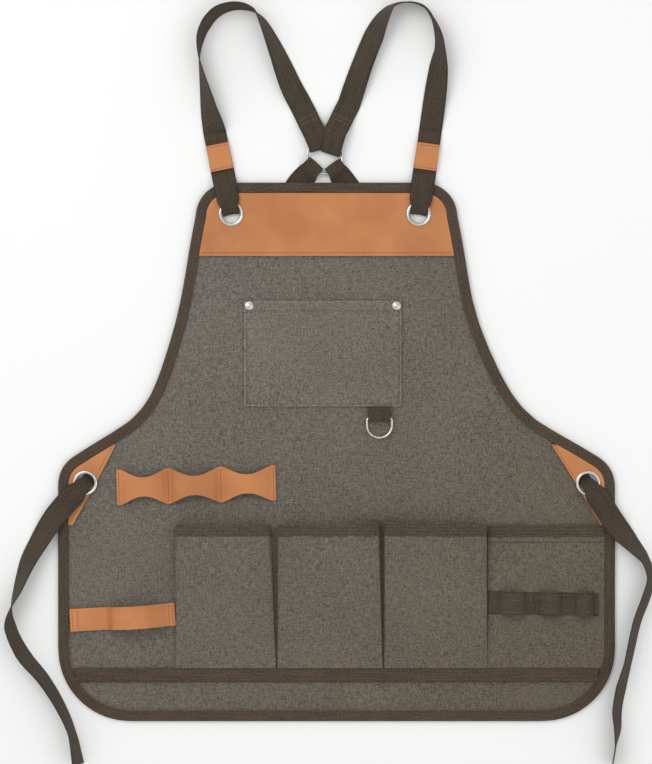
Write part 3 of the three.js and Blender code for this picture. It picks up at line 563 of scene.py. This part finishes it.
def grid_sheet(columns, rows, place, size):
    """Grid whose two shares run from 0 to 1, moved by place, with UVs in metres of cloth"""
    bm = bmesh.new()
    bmesh.ops.create_grid(bm, x_segments=columns, y_segments=rows, size=0.5)
    cloth = bm.loops.layers.uv.new("cloth")
    for face in bm.faces:
        for loop in face.loops:
            loop[cloth].uv = ((loop.vert.co.x + 0.5) * size[0], (loop.vert.co.y + 0.5) * size[1])
    for vert in bm.verts:
        vert.co = place(vert.co.x + 0.5, vert.co.y + 0.5)
    return bm


def run_length(points):
    return sum((b - a).length for a, b in zip(points, points[1:]))


def strip_sheet(node, step, across, curl=0.0):
    """Sheet along a CAD strip; where it is squeezed narrower than its cloth, its edges curl upwards"""
    one, two = curve_through(strip_edges(node), step)
    widest = max((a - b).length for a, b in zip(one, two))
    length = run_length([(a + b) / 2 for a, b in zip(one, two)])
    last = len(one) - 1
    bows = []
    upward = 1.0
    for i, (a, b) in enumerate(zip(one, two)):
        ahead = (one[min(i + 1, last)] + two[min(i + 1, last)]) - (one[max(i - 1, 0)] + two[max(i - 1, 0)])
        normal = ahead.cross(b - a).normalized()
        if abs(normal.z) > 0.5:
            upward = math.copysign(1.0, normal.z)
        squeeze = 1 - (b - a).length / widest
        bows.append(normal * upward * curl * squeeze)

    def place(u, v):
        i = min(round(u * last), last)
        bow = (2 * v - 1) ** 2
        return one[i].lerp(two[i], v) + bows[i] * bow

    return grid_sheet(last, across, place, (length, widest))


def across_strip(one, two, i, margin):
    """Both ends of a seam across a strip, at one of the points of its edges"""
    return [one[i].lerp(two[i], margin), one[i].lerp(two[i], 1 - margin)]


def lathe(bm, profile, centre, steps=48, closed=True):
    """Round piece: a profile of radii and heights, closed or from axis to axis, spun about an upright axis"""
    verts = [bm.verts.new(centre + Vector((r, 0, z))) for r, z in profile]
    following = verts[1:] + (verts[:1] if closed else [])
    edges = [bm.edges.new(pair) for pair in zip(verts, following)]
    bmesh.ops.spin(bm, geom=verts + edges, cent=centre, axis=(0, 0, 1), dvec=(0, 0, 0),
                   angle=2 * math.pi, steps=steps, use_merge=True)


def closed_up(bm):
    """Merges what meets and turns the faces outwards"""
    bmesh.ops.remove_doubles(bm, verts=bm.verts, dist=0.01 * MM)
    bmesh.ops.recalc_face_normals(bm, faces=bm.faces)
    return bm


class Seams:
    """Sewing stitches along lines, gathered as one piece"""

    def __init__(self):
        seed = bmesh.new()
        bmesh.ops.create_icosphere(seed, subdivisions=1, radius=0.5)
        self.seed = bpy.data.meshes.new("stitch")
        seed.to_mesh(self.seed)
        seed.free()
        self.bm = bmesh.new()

    def sew(self, points, height=None, closed=False, pitch=None):
        """Stitches along a line, set down on a surface where one is given"""
        pitch = pitch or settings().stitch_pitch
        width = settings().stitch_width
        line = spread(points, pitch, closed)
        pairs = list(zip(line, line[1:] + line[:1])) if closed else list(zip(line, line[1:]))
        for a, b in pairs:
            at = (a + b) / 2
            if height:
                at.z = height(at.x, at.y)
            ahead = b - a
            if height:
                ahead.z = 0
            turn = ahead.to_track_quat("X", "Z").to_matrix().to_4x4()
            size = Matrix.Diagonal((pitch * STITCH_LENGTH, width, width * STITCH_HEIGHT, 1.0))
            stitch = self.seed.copy()
            stitch.transform(Matrix.Translation(at) @ turn @ size)
            self.bm.from_mesh(stitch)
            bpy.data.meshes.remove(stitch)

    def sew_along_x(self, left, right, y, height, pitch=None):
        self.sew([Vector((left, y, 0)), Vector((right, y, 0))], height, pitch=pitch)

    def piece(self, name, finish, slot):
        bpy.data.meshes.remove(self.seed)
        return to_piece(name, self.bm, finish, slot)


def inset_ring(ring, distance):
    """Closed line moved inwards in plan"""
    area = sum(a.x * b.y - b.x * a.y for a, b in zip(ring, ring[1:] + ring[:1]))
    turn = 1 if area > 0 else -1
    result = []
    for i, p in enumerate(ring):
        ahead = ring[(i + 1) % len(ring)] - ring[i - 1]
        inward = Vector((-ahead.y, ahead.x, 0)).normalized() * turn
        result.append(p + inward * distance)
    return result


class APRON_OT_canvas_body(bpy.types.Operator):
    """Body cloth with soft hollows and its four eyelet holes"""
    bl_idname = "apron.canvas_body"
    bl_label = "Canvas body"

    def execute(self, context):
        bm = upper_side("canvas_panel")
        area = sum(f.calc_area() for f in bm.faces)
        cut_finely(bm, 7 * MM)
        for vert in bm.verts:
            vert.co.z += hollow(vert.co.x, vert.co.y, settings().ripple)
        obj = to_piece("canvas_body", bm, "canvas", "canvas", ["canvas_panel"])
        wall(obj, CANVAS, -1, 0.2 * MM)
        return {"FINISHED"}


class APRON_OT_binding(bpy.types.Operator):
    """Tape folded over the whole edge of the body, with its seam"""
    bl_idname = "apron.binding"
    bl_label = "Binding"

    def execute(self, context):
        top = upper_side("edge_binding", 3.8 * MM)
        outer = boundary_rings(top)[0]
        top.free()
        ring = spread(outer, 3 * MM, closed=True)
        for _ in range(3):
            ring = [(ring[i - 1] + p * 2 + ring[(i + 1) % len(ring)]) / 4 for i, p in enumerate(ring)]
        count = len(ring)
        reaches = [q - p for p, q in zip(ring, inset_ring(ring, 1.0))]
        half = (BINDING_HEIGHT - TAPE) / 2
        section = [(BINDING_REACH, -half), (BINDING_REACH * 0.6, -half), (half + TAPE, -half)]
        for i in range(1, 8):
            angle = math.radians(-90 - 180 * i / 8)
            section.append((half + TAPE / 2 + half * math.cos(angle), half * math.sin(angle)))
        section += [(half + TAPE, half), (BINDING_REACH * 0.45, half + 0.12 * MM),
                    (BINDING_REACH * 0.66, half + 0.1 * MM), (BINDING_REACH * 0.8, half - 0.1 * MM),
                    (BINDING_REACH * 0.9, half), (BINDING_REACH, half - 0.05 * MM)]
        profile = spread([Vector((x, z, 0)) for x, z in section], 1.1 * MM)
        rows = len(profile) - 1

        def place(u, v):
            i = round(u * count) % count
            inset, z, _ = profile[round(v * rows)]
            at = ring[i] + reaches[i] * inset
            wave = noise.noise(ring[i] * 60) * 0.15 * MM
            at.z = ring[i].z - BINDING_HEIGHT / 2 + z + wave * (1 if z > 0 else 0)
            return at

        bm = grid_sheet(count, rows, place, (run_length(ring), run_length(profile)))
        bmesh.ops.remove_doubles(bm, verts=bm.verts, dist=0.01 * MM)
        bmesh.ops.recalc_face_normals(bm, faces=bm.faces)
        obj = to_piece("binding", bm, "binding_tape", "webbing", ["edge_binding"])
        wall(obj, TAPE, 0, 0.25 * MM)
        seams = Seams()
        seam = inset_ring(ring, BINDING_REACH * 0.8)
        seams.sew(seam, closed=True)
        seams.piece("binding_seam", "thread", "webbing")
        return {"FINISHED"}


class APRON_OT_leather(bpy.types.Operator):
    """Leather across the bib and at both waist corners"""
    bl_idname = "apron.leather"
    bl_label = "Leather patches"

    def execute(self, context):
        seams = Seams()
        for node in ("bib_leather", "waist_leather_left", "waist_leather_right"):
            bm = upper_side(node)
            height = surface_of(node)
            cut_finely(bm, 5 * MM)
            for vert in bm.verts:
                vert.co.z -= 0.25 * MM * (0.5 + noise.noise(vert.co * 30))
            obj = to_piece(node + "_patch", bm, "leather", "leather", [node])
            wall(obj, LEATHER, -1, 0.45 * MM)
            low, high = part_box(node)
            if node == "bib_leather":
                edge = 3.5 * MM
                seams.sew_along_x(low.x + edge, high.x - edge, low.y + edge, height, CLOSE_PITCH)
            else:
                side = 1 if low.x > 0 else -1
                points = [v.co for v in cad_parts[node].data.vertices]
                foot = min((p for p in points if p.y < low.y + MM), key=lambda p: p.x * side)
                tip = min((p for p in points if p.y > high.y - MM), key=lambda p: p.x * side)
                step = Vector((side * 3.2 * MM, 0, 0))
                seams.sew([foot + step, tip + step], height, pitch=CLOSE_PITCH)
        seams.piece("leather_seams", "leather_thread", "leather")
        return {"FINISHED"}


class APRON_OT_eyelets(bpy.types.Operator):
    """Four clenched nickel eyelets"""
    bl_idname = "apron.eyelets"
    bl_label = "Eyelets"

    def execute(self, context):
        for name in ("bib_left", "bib_right", "waist_left", "waist_right"):
            node = "eyelet_" + name
            low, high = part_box(node)
            centre = (low + high) / 2
            centre.z = 0
            rim = (high.x - low.x) / 2
            bore = rim - EYELET_FLANGE
            metal = EYELET_METAL
            profile = [
                (bore, low.z + metal * 0.7), (bore + metal * 0.3, low.z + metal * 0.2),
                (bore + metal, low.z), (rim - metal, low.z + metal * 0.2), (rim, low.z + metal * 0.6),
                (rim - metal * 0.2, low.z + metal), (bore + metal, low.z + metal),
                (bore + metal, high.z - metal), (rim - metal * 0.2, high.z - metal),
                (rim, high.z - metal * 0.6), (rim - metal * 0.5, high.z - metal * 0.2),
                (rim - metal * 1.4, high.z), (bore + metal * 1.5, high.z),
                (bore + metal * 0.6, high.z - metal * 0.2), (bore, high.z - metal * 0.8),
            ]
            bm = bmesh.new()
            lathe(bm, profile, centre)
            to_piece(node + "_rolled", closed_up(bm), "nickel", "nickel", [node])
        return {"FINISHED"}


class APRON_OT_back_ring(bpy.types.Operator):
    """Round wire ring between the straps"""
    bl_idname = "apron.back_ring"
    bl_label = "Back ring"

    def execute(self, context):
        low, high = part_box("back_ring")
        centre = (low + high) / 2
        wire = (high.z - low.z) / 2
        reach = (high.x - low.x) / 2 - wire
        profile = []
        for i in range(16):
            angle = 2 * math.pi * i / 16
            profile.append((reach + wire * math.cos(angle), wire * math.sin(angle)))
        bm = bmesh.new()
        lathe(bm, profile, centre, 72)
        to_piece("ring_between_straps", closed_up(bm), "nickel", "nickel", ["back_ring"])
        return {"FINISHED"}


class APRON_OT_straps(bpy.types.Operator):
    """Shoulder straps and waist straps of webbing, with their leather keepers"""
    bl_idname = "apron.straps"
    bl_label = "Straps"

    def execute(self, context):
        for node in ("shoulder_strap_left", "shoulder_strap_right", "waist_strap_left", "waist_strap_right"):
            bm = strip_sheet(node, 3 * MM, 10, 2.6 * MM)
            obj = to_piece(node + "_webbing", bm, "webbing", "webbing", [node])
            wall(obj, TAPE, 0, 0.35 * MM)
        sewn = Seams()
        for node in ("shoulder_strap_left", "shoulder_strap_right"):
            one, two = curve_through(strip_edges(node), 2 * MM)
            for y in (STRAP_BAR - STRAP_BAR_APART, STRAP_BAR + STRAP_BAR_APART):
                near = [i for i in range(len(one)) if abs((one[i].y + two[i].y) / 2 - y) < 2 * MM
                        and abs((one[i].x + two[i].x) / 2) < STRAP_BAR_REACH]
                i = max(near, key=lambda k: one[k].z + two[k].z)
                up = Vector((0, 0, TAPE * 0.55))
                sewn.sew([end + up for end in across_strip(one, two, i, 0.08)], pitch=CLOSE_PITCH)
        sewn.piece("strap_bars", "bar_thread", "webbing")
        seams = Seams()
        for side in ("left", "right"):
            node = "keeper_" + side
            bm = strip_sheet(node, 2 * MM, 12)
            obj = to_piece(node + "_leather", bm, "leather", "leather", [node])
            wall(obj, LEATHER, 0, 0.45 * MM)
            one, two = strip_edges(node)
            height = surface_of(node)
            for share in (0.08, 0.92):
                ends = [a.lerp(b, share) for a, b in zip((one[0], two[0]), (one[1], two[1]))]
                seams.sew(ends, height, pitch=CLOSE_PITCH)
        seams.piece("keeper_seams", "leather_thread", "leather")
        return {"FINISHED"}


# Chest pocket: how far its middle puffs up, its seams press down, its hem stands and its cloth ripples
CHEST_PUFF = 0.9 * MM
CHEST_PRESS = 0.35 * MM
CHEST_FOLD = 0.2 * MM
CHEST_RIPPLE = 0.4 * MM


class APRON_OT_chest_pocket(bpy.types.Operator):
    """Flat chest pocket with its hem, seams and two rivets"""
    bl_idname = "apron.chest_pocket"
    bl_label = "Chest pocket"

    def execute(self, context):
        low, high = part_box("chest_pocket")
        height = surface_of("chest_pocket")
        width = high.x - low.x
        length = high.y - low.y
        hem = 1 - HEM_BAND / length

        def place(u, v):
            x = low.x + u * width
            y = low.y + v * length
            puff = (4 * u * (1 - u) * min(1.0, 3 * v)) ** 0.6 * CHEST_PUFF
            press = CHEST_PRESS * math.exp(-((min(u, 1 - u) * width - SEAM_IN) / MM) ** 2)
            fold = CHEST_FOLD if v > hem else 0.0
            ripple = CHEST_RIPPLE * noise.noise(Vector((x * 30, y * 26, 1.5)))
            flat = height(x, min(max(y, low.y + MM), high.y - MM))
            return Vector((x, y, flat + puff - press + fold + ripple))

        bm = grid_sheet(116, 78, place, (width, length))
        # A thin band along the border gets a painted highlight, where the turned edge would catch the light
        for face in bm.faces:
            at = face.calc_center_median()
            if min(at.x - low.x, high.x - at.x, at.y - low.y, high.y - at.y) < TURNED_EDGE:
                face.material_index = 1
        obj = to_piece("chest_pocket_cloth", bm, "chest_canvas", "canvas", ["chest_pocket"], "turned_edge_highlight_canvas")
        wall(obj, CANVAS, -1, 0.3 * MM)
        seams = Seams()
        left = low.x + SEAM_IN
        right = high.x - SEAM_IN
        foot = low.y + SEAM_IN
        line = [Vector((x, y, 0)) for x, y in ((left, high.y), (left, foot), (right, foot), (right, high.y))]
        raised = lambda x, y: height(x, y) + 0.15 * MM
        seams.sew(line, raised)
        top = high.y - HEM_BAND + MM
        raised_hem = lambda x, y: height(x, y) + 1.2 * MM
        seams.sew_along_x(left, right, top, raised_hem)
        seams.piece("chest_pocket_seams", "thread", "canvas")
        bm = bmesh.new()
        for side in ("left", "right"):
            a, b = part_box("pocket_rivet_" + side)
            centre = Vector(((a.x + b.x) / 2, (a.y + b.y) / 2, a.z))
            rim = (b.x - a.x) / 2
            tall = b.z - a.z
            shape = [(0.0, 0.0), (rim, 0.0), (rim, tall * 0.3), (rim * 0.93, tall * 0.5),
                     (rim * 0.8, tall * 0.55), (rim * 0.62, tall * 0.5), (rim * 0.55, tall * 0.75),
                     (rim * 0.4, tall * 0.95), (0.0, tall)]
            lathe(bm, shape, centre, 32, closed=False)
        closed_up(bm)
        to_piece("pocket_rivets", bm, "nickel", "nickel", ["pocket_rivet_left", "pocket_rivet_right"])
        return {"FINISHED"}


class APRON_OT_ring_tab(bpy.types.Operator):
    """Webbing tab under the chest pocket with its D ring"""
    bl_idname = "apron.ring_tab"
    bl_label = "Ring tab"

    def execute(self, context):
        bm = strip_sheet("ring_tab", 1.0 * MM, 12)
        obj = to_piece("ring_tab_webbing", bm, "webbing", "webbing", ["ring_tab"])
        wall(obj, TAPE, 0, 0.3 * MM)
        low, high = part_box("d_ring")
        wire = (high.z - low.z) / 2
        half = (high.x - low.x) / 2 - wire
        middle = (low + high) / 2
        top = high.y - wire
        corner = 2.2 * MM
        path = []
        for i in range(25):
            angle = math.pi + math.pi * i / 24
            path.append((middle.x + half * math.cos(angle), low.y + wire + half + half * math.sin(angle)))
        for x, start in ((middle.x + half - corner, 0), (middle.x - half + corner, 90)):
            for i in range(6):
                angle = math.radians(start + 18 * i)
                path.append((x + corner * math.cos(angle), top - corner + corner * math.sin(angle)))
        curve = bpy.data.curves.new("d_ring_wire", "CURVE")
        curve.dimensions = "3D"
        curve.bevel_depth = wire
        curve.bevel_resolution = 5
        spline = curve.splines.new("POLY")
        spline.points.add(len(path) - 1)
        for point, (x, y) in zip(spline.points, path):
            point.co = (x, y, middle.z, 1)
        spline.use_cyclic_u = True
        holder = bpy.data.objects.new("d_ring_wire", curve)
        bpy.context.scene.collection.objects.link(holder)
        bpy.context.view_layer.update()
        mesh = bpy.data.meshes.new_from_object(holder.evaluated_get(bpy.context.evaluated_depsgraph_get()))
        bm = bmesh.new()
        bm.from_mesh(mesh)
        bpy.data.objects.remove(holder)
        bpy.data.curves.remove(curve)
        bpy.data.meshes.remove(mesh)
        to_piece("d_ring_bent", closed_up(bm), "nickel", "nickel", ["d_ring"])
        low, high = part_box("ring_tab")
        seams = Seams()
        top = lambda x, y: high.z
        for y in (high.y - 3 * MM, high.y - 8 * MM):
            seams.sew_along_x(low.x + 2 * MM, high.x - 2 * MM, y, top, CLOSE_PITCH)
        seams.piece("ring_tab_seams", "thread", "webbing")
        return {"FINISHED"}


# Section of a bellows pocket from its left seam to its right one: across, tuck and height as shares
BELLOWS = (
    (-1.0, 0.0, 0.0),
    (-1.0, 0.6, 0.3),
    (-1.0, 1.0, 0.55),
    (-0.985, 1.0, 0.72),
    (-0.95, 1.0, 0.82),
    (-0.6, 1.0, 0.94),
    (0.0, 1.0, 1.0),
    (0.6, 1.0, 0.94),
    (0.95, 1.0, 0.82),
    (0.985, 1.0, 0.72),
    (1.0, 1.0, 0.55),
    (1.0, 0.6, 0.3),
    (1.0, 0.0, 0.0),
)
# Bellows pockets: how far they stand off, their sides tuck in, their cloth wrinkles and their hem stands
# proud, then the columns of their cloth
POCKET_DEPTH = 13 * MM
POCKET_TUCK = 5 * MM
POCKET_WRINKLE = 1.3 * MM
POCKET_HEM = 0.9 * MM
POCKET_COLUMNS = 72
# Each pocket's rim: lean of its right edge inwards, then its rise at the left corner, its dip in the middle
# and its rise at the right corner
RIMS = {
    "pocket_left": (7.4 * MM, 0.0, 0.0, 0.0),
    "pocket_middle": (4.5 * MM, 0.0, 3 * MM, 6 * MM),
    "pocket_right": (1.1 * MM, 6 * MM, 0.0, 0.0),
}


class APRON_OT_skirt_pockets(bpy.types.Operator):
    """Three bellows pockets and the wide flat pocket beside them"""
    bl_idname = "apron.skirt_pockets"
    bl_label = "Skirt pockets"

    def execute(self, context):
        ground = surface_of("canvas_panel")
        seams = Seams()
        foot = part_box("pocket_left")[0].y
        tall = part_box("pocket_left")[1].y - foot
        section = [spread_share(BELLOWS, i / POCKET_COLUMNS) for i in range(POCKET_COLUMNS + 1)]
        for node, rim in RIMS.items():
            low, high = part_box(node)
            middle = (low.x + high.x) / 2
            half = (high.x - low.x) / 2
            lean, left, dip, right = rim

            def place(u, v):
                side, out, rise = section[round(u * POCKET_COLUMNS)]
                depth = POCKET_DEPTH * (0.1 + 0.9 * v ** 0.8)
                tucked = CANVAS + POCKET_TUCK * v
                corner = left if side < 0 else right
                top = abs(side) * corner - (1 - abs(side)) * dip
                x = middle + side * (half - tucked + (tucked - CANVAS / 2) * out)
                x -= lean * v * out * (1 + side) / 2
                y = foot + v * (tall + top)
                uneven = noise.noise(Vector((x * 26, y * 18, middle * 9)))
                wrinkle = uneven * POCKET_WRINKLE * out * min(1, 3 * v)
                hem = POCKET_HEM if v * tall > tall - HEM_CLOTH else 0.0
                z = ground(x, y) + 0.9 * MM + depth * rise + (wrinkle + hem) * min(1.0, out)
                return Vector((x, y, z))

            width = 2 * half + 4 * POCKET_DEPTH * 0.55
            bm = grid_sheet(POCKET_COLUMNS, 77, place, (width, tall))
            area = sum(f.calc_area() for f in bm.faces)
            # The hem band gets the dark hem cloth, and so do the tucked sides, where it is painted shade in
            # the pleats between the pockets
            for face in bm.faces:
                centre = face.calc_center_median()
                if centre.y > foot + tall - HEM_BAND or abs(face.normal.z) < 0.5:
                    face.material_index = 1
            obj = to_piece(node + "_cloth", bm, "canvas", "canvas", [node], "hem_and_pleat_shade_canvas")
            wall(obj, CANVAS, 0, 0.3 * MM)
            top_of = surface_of(node)
            pressed = lambda x, y: top_of(x, y) - 0.1 * MM
            reach = half * 0.93
            for drop in (SEAM_IN, HEM_BAND):
                seams.sew_along_x(middle - reach, middle + reach - lean, foot + tall - drop, pressed)
        low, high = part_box("stake_panel")
        height = surface_of("stake_panel")
        bm = upper_side("stake_panel")
        cut_finely(bm, 6 * MM)
        for vert in bm.verts:
            lift = noise.noise(vert.co * 22)
            vert.co.z += (0.5 + lift) * 0.7 * MM
        for face in bm.faces:
            if face.calc_center_median().y > high.y - WIDE_HEM_BAND:
                face.material_index = 1
        area = sum(f.calc_area() for f in bm.faces)
        obj = to_piece("wide_pocket_cloth", bm, "canvas", "canvas", ["stake_panel"], "hem_and_pleat_shade_canvas")
        wall(obj, CANVAS, -1, 0.3 * MM)
        raised = lambda x, y: height(x, y) + 0.4 * MM
        for drop in WIDE_HEM_SEAMS:
            y = high.y - drop
            seams.sew_along_x(low.x + 2 * MM, high.x - 2 * MM, y, raised)
        seams.sew([Vector((low.x + 2 * MM, low.y + MM, 0)), Vector((low.x + 2 * MM, y, 0))], raised)
        seams.piece("skirt_pocket_seams", "thread", "canvas")
        return {"FINISHED"}


def spread_share(table, share):
    """Row between the rows of a table, at a share of the whole table"""
    at = share * (len(table) - 1)
    i = min(int(at), len(table) - 2)
    return [a + (b - a) * (at - i) for a, b in zip(table[i], table[i + 1])]


class APRON_OT_base_tape(bpy.types.Operator):
    """Webbing across the foot of the pockets, sewn along both edges"""
    bl_idname = "apron.base_tape"
    bl_label = "Base tape"

    def execute(self, context):
        low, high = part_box("base_tape")
        height = surface_of("base_tape")

        def place(u, v):
            y = low.y + v * (high.y - low.y)
            inset = (high.y - y) * 0.12
            x = low.x + inset + u * (high.x - low.x - 2 * inset)
            crown = 0.25 * MM * math.sin(math.pi * v)
            return Vector((x, y, height(x, (low.y + high.y) / 2) + crown
                           + 0.2 * MM * noise.noise(Vector((x * 40, y * 40, 0)))))

        bm = grid_sheet(190, 8, place, (high.x - low.x, high.y - low.y))
        obj = to_piece("base_tape_webbing", bm, "binding_tape", "webbing", ["base_tape"])
        wall(obj, TAPE, -1, 0.3 * MM)
        seams = Seams()
        for y in (low.y + 2 * MM, high.y - 2 * MM):
            seams.sew_along_x(low.x + SEAM_IN, high.x - SEAM_IN, y, height)
        seams.piece("base_tape_seams", "thread", "webbing")
        return {"FINISHED"}


class APRON_OT_loops(bpy.types.Operator):
    """Scalloped leather holder, wide leather loop and the strip of webbing loops"""
    bl_idname = "apron.loops"
    bl_label = "Tool loops"

    def execute(self, context):
        leather = Seams()
        cloth = Seams()
        jobs = (
            ("tool_holder", "leather", "leather", LEATHER, leather, (0.012, 0.988)),
            ("axe_loop", "leather", "leather", LEATHER, leather, (0.02, 0.05, 0.935, 0.98)),
            ("stake_loops", "loop_webbing", "webbing", TAPE, cloth,
             (0.02, 0.06, 0.38, 0.42, 0.7, 0.74, 0.98)),
        )
        for node, finish, slot, thickness, seams, shares in jobs:
            bm = strip_sheet(node, 1.5 * MM, 16)
            obj = to_piece(node + "_strip", bm, finish, slot, [node])
            wall(obj, thickness, 0, 0.4 * MM)
            one, two = curve_through(strip_edges(node), 1.5 * MM)
            height = surface_of(node)
            last = len(one) - 1
            for share in shares:
                seams.sew(across_strip(one, two, round(share * last), 0.06), height, pitch=CLOSE_PITCH)
        one, two = curve_through(strip_edges("tool_holder"), 1.5 * MM)
        height = surface_of("tool_holder")
        if one[0].x > one[-1].x:
            one.reverse()
            two.reverse()
        for seam in (0.018, 0.325, 0.655, 0.982):
            at = one[0].lerp(one[-1], seam)
            i = min(range(len(one)), key=lambda k: abs(one[k].x - at.x))
            leather.sew(across_strip(one, two, i, 0.06), height, pitch=CLOSE_PITCH)
        leather.piece("loop_seams", "leather_thread", "leather")
        cloth.piece("webbing_loop_seams", "thread", "webbing")
        return {"FINISHED"}


class APRON_OT_stage(bpy.types.Operator):
    """Pale floor, soft studio light and a camera straight above"""
    bl_idname = "apron.stage"
    bl_label = "Stage"

    def execute(self, context):
        bm = bmesh.new()
        bmesh.ops.create_grid(bm, x_segments=2, y_segments=2, size=3.0)
        bmesh.ops.translate(bm, verts=bm.verts, vec=(0, 0, -0.2 * MM))
        mesh = bpy.data.meshes.new("floor")
        bm.to_mesh(mesh)
        bm.free()
        look = Finish("floor", 0.95)
        cloud = look.noise(look.place(False), 3.0, 2.0)
        base = rgba(settings().floor_colour)
        look.colour(look.shade(base, look.spanned(cloud, 0.995, 1.005)))
        mesh.materials.append(look.material)
        floor = bpy.data.objects.new("floor", mesh)
        context.scene.collection.objects.link(floor)

        world = bpy.data.worlds.new("studio")
        world.use_nodes = True
        sky = world.node_tree.nodes["Background"]
        sky.inputs["Color"].default_value = (1.0, 1.0, 1.0, 1.0)
        sky.inputs["Strength"].default_value = SKY_STRENGTH
        context.scene.world = world
        context.scene.view_settings.view_transform = "Standard"
        for name, place, size, energy in LAMPS:
            data = bpy.data.lights.new(name, "AREA")
            data.shape = "DISK"
            data.size = size
            data.energy = energy
            lamp = bpy.data.objects.new(name, data)
            lamp.location = place
            lamp.rotation_euler = (-Vector(place)).to_track_quat("-Z", "Y").to_euler()
            context.scene.collection.objects.link(lamp)

        data = bpy.data.cameras.new("camera")
        data.sensor_width = SENSOR
        data.lens = SENSOR * CAMERA_HEIGHT / FRAME_HEIGHT
        data.clip_end = 20.0
        camera = bpy.data.objects.new("camera", data)
        camera.location = (*VIEW_CENTRE, CAMERA_HEIGHT)
        context.scene.collection.objects.link(camera)
        context.scene.camera = camera
        return {"FINISHED"}


OPERATORS = (
    APRON_OT_stage,
    APRON_OT_canvas_body,
    APRON_OT_binding,
    APRON_OT_leather,
    APRON_OT_eyelets,
    APRON_OT_back_ring,
    APRON_OT_straps,
    APRON_OT_chest_pocket,
    APRON_OT_ring_tab,
    APRON_OT_skirt_pockets,
    APRON_OT_base_tape,
    APRON_OT_loops,
)


class APRON_PT_panel(bpy.types.Panel):
    """Lists the apron's settings and its steps in order"""
    bl_idname = "APRON_PT_panel"
    bl_label = "Apron"
    bl_space_type = "VIEW_3D"
    bl_region_type = "UI"
    bl_category = "Apron"

    def draw(self, context):
        values = context.scene.apron_settings
        for name in values.bl_rna.properties.keys():
            if name not in ("rna_type", "name"):
                self.layout.prop(values, name)
        for operator in OPERATORS:
            self.layout.operator(operator.bl_idname)


def register():
    bpy.utils.register_class(ApronSettings)
    for operator in OPERATORS:
        bpy.utils.register_class(operator)
    bpy.utils.register_class(APRON_PT_panel)
    bpy.types.Scene.apron_settings = bpy.props.PointerProperty(type=ApronSettings)


def unregister():
    del bpy.types.Scene.apron_settings
    bpy.utils.unregister_class(APRON_PT_panel)
    for operator in reversed(OPERATORS):
        bpy.utils.unregister_class(operator)
    bpy.utils.unregister_class(ApronSettings)


def main():
    register()
    for operator in OPERATORS:
        group, step = operator.bl_idname.split(".")
        getattr(getattr(bpy.ops, group), step)()
    bpy.context.view_layer.update()


if __name__ == "__main__":
    main()
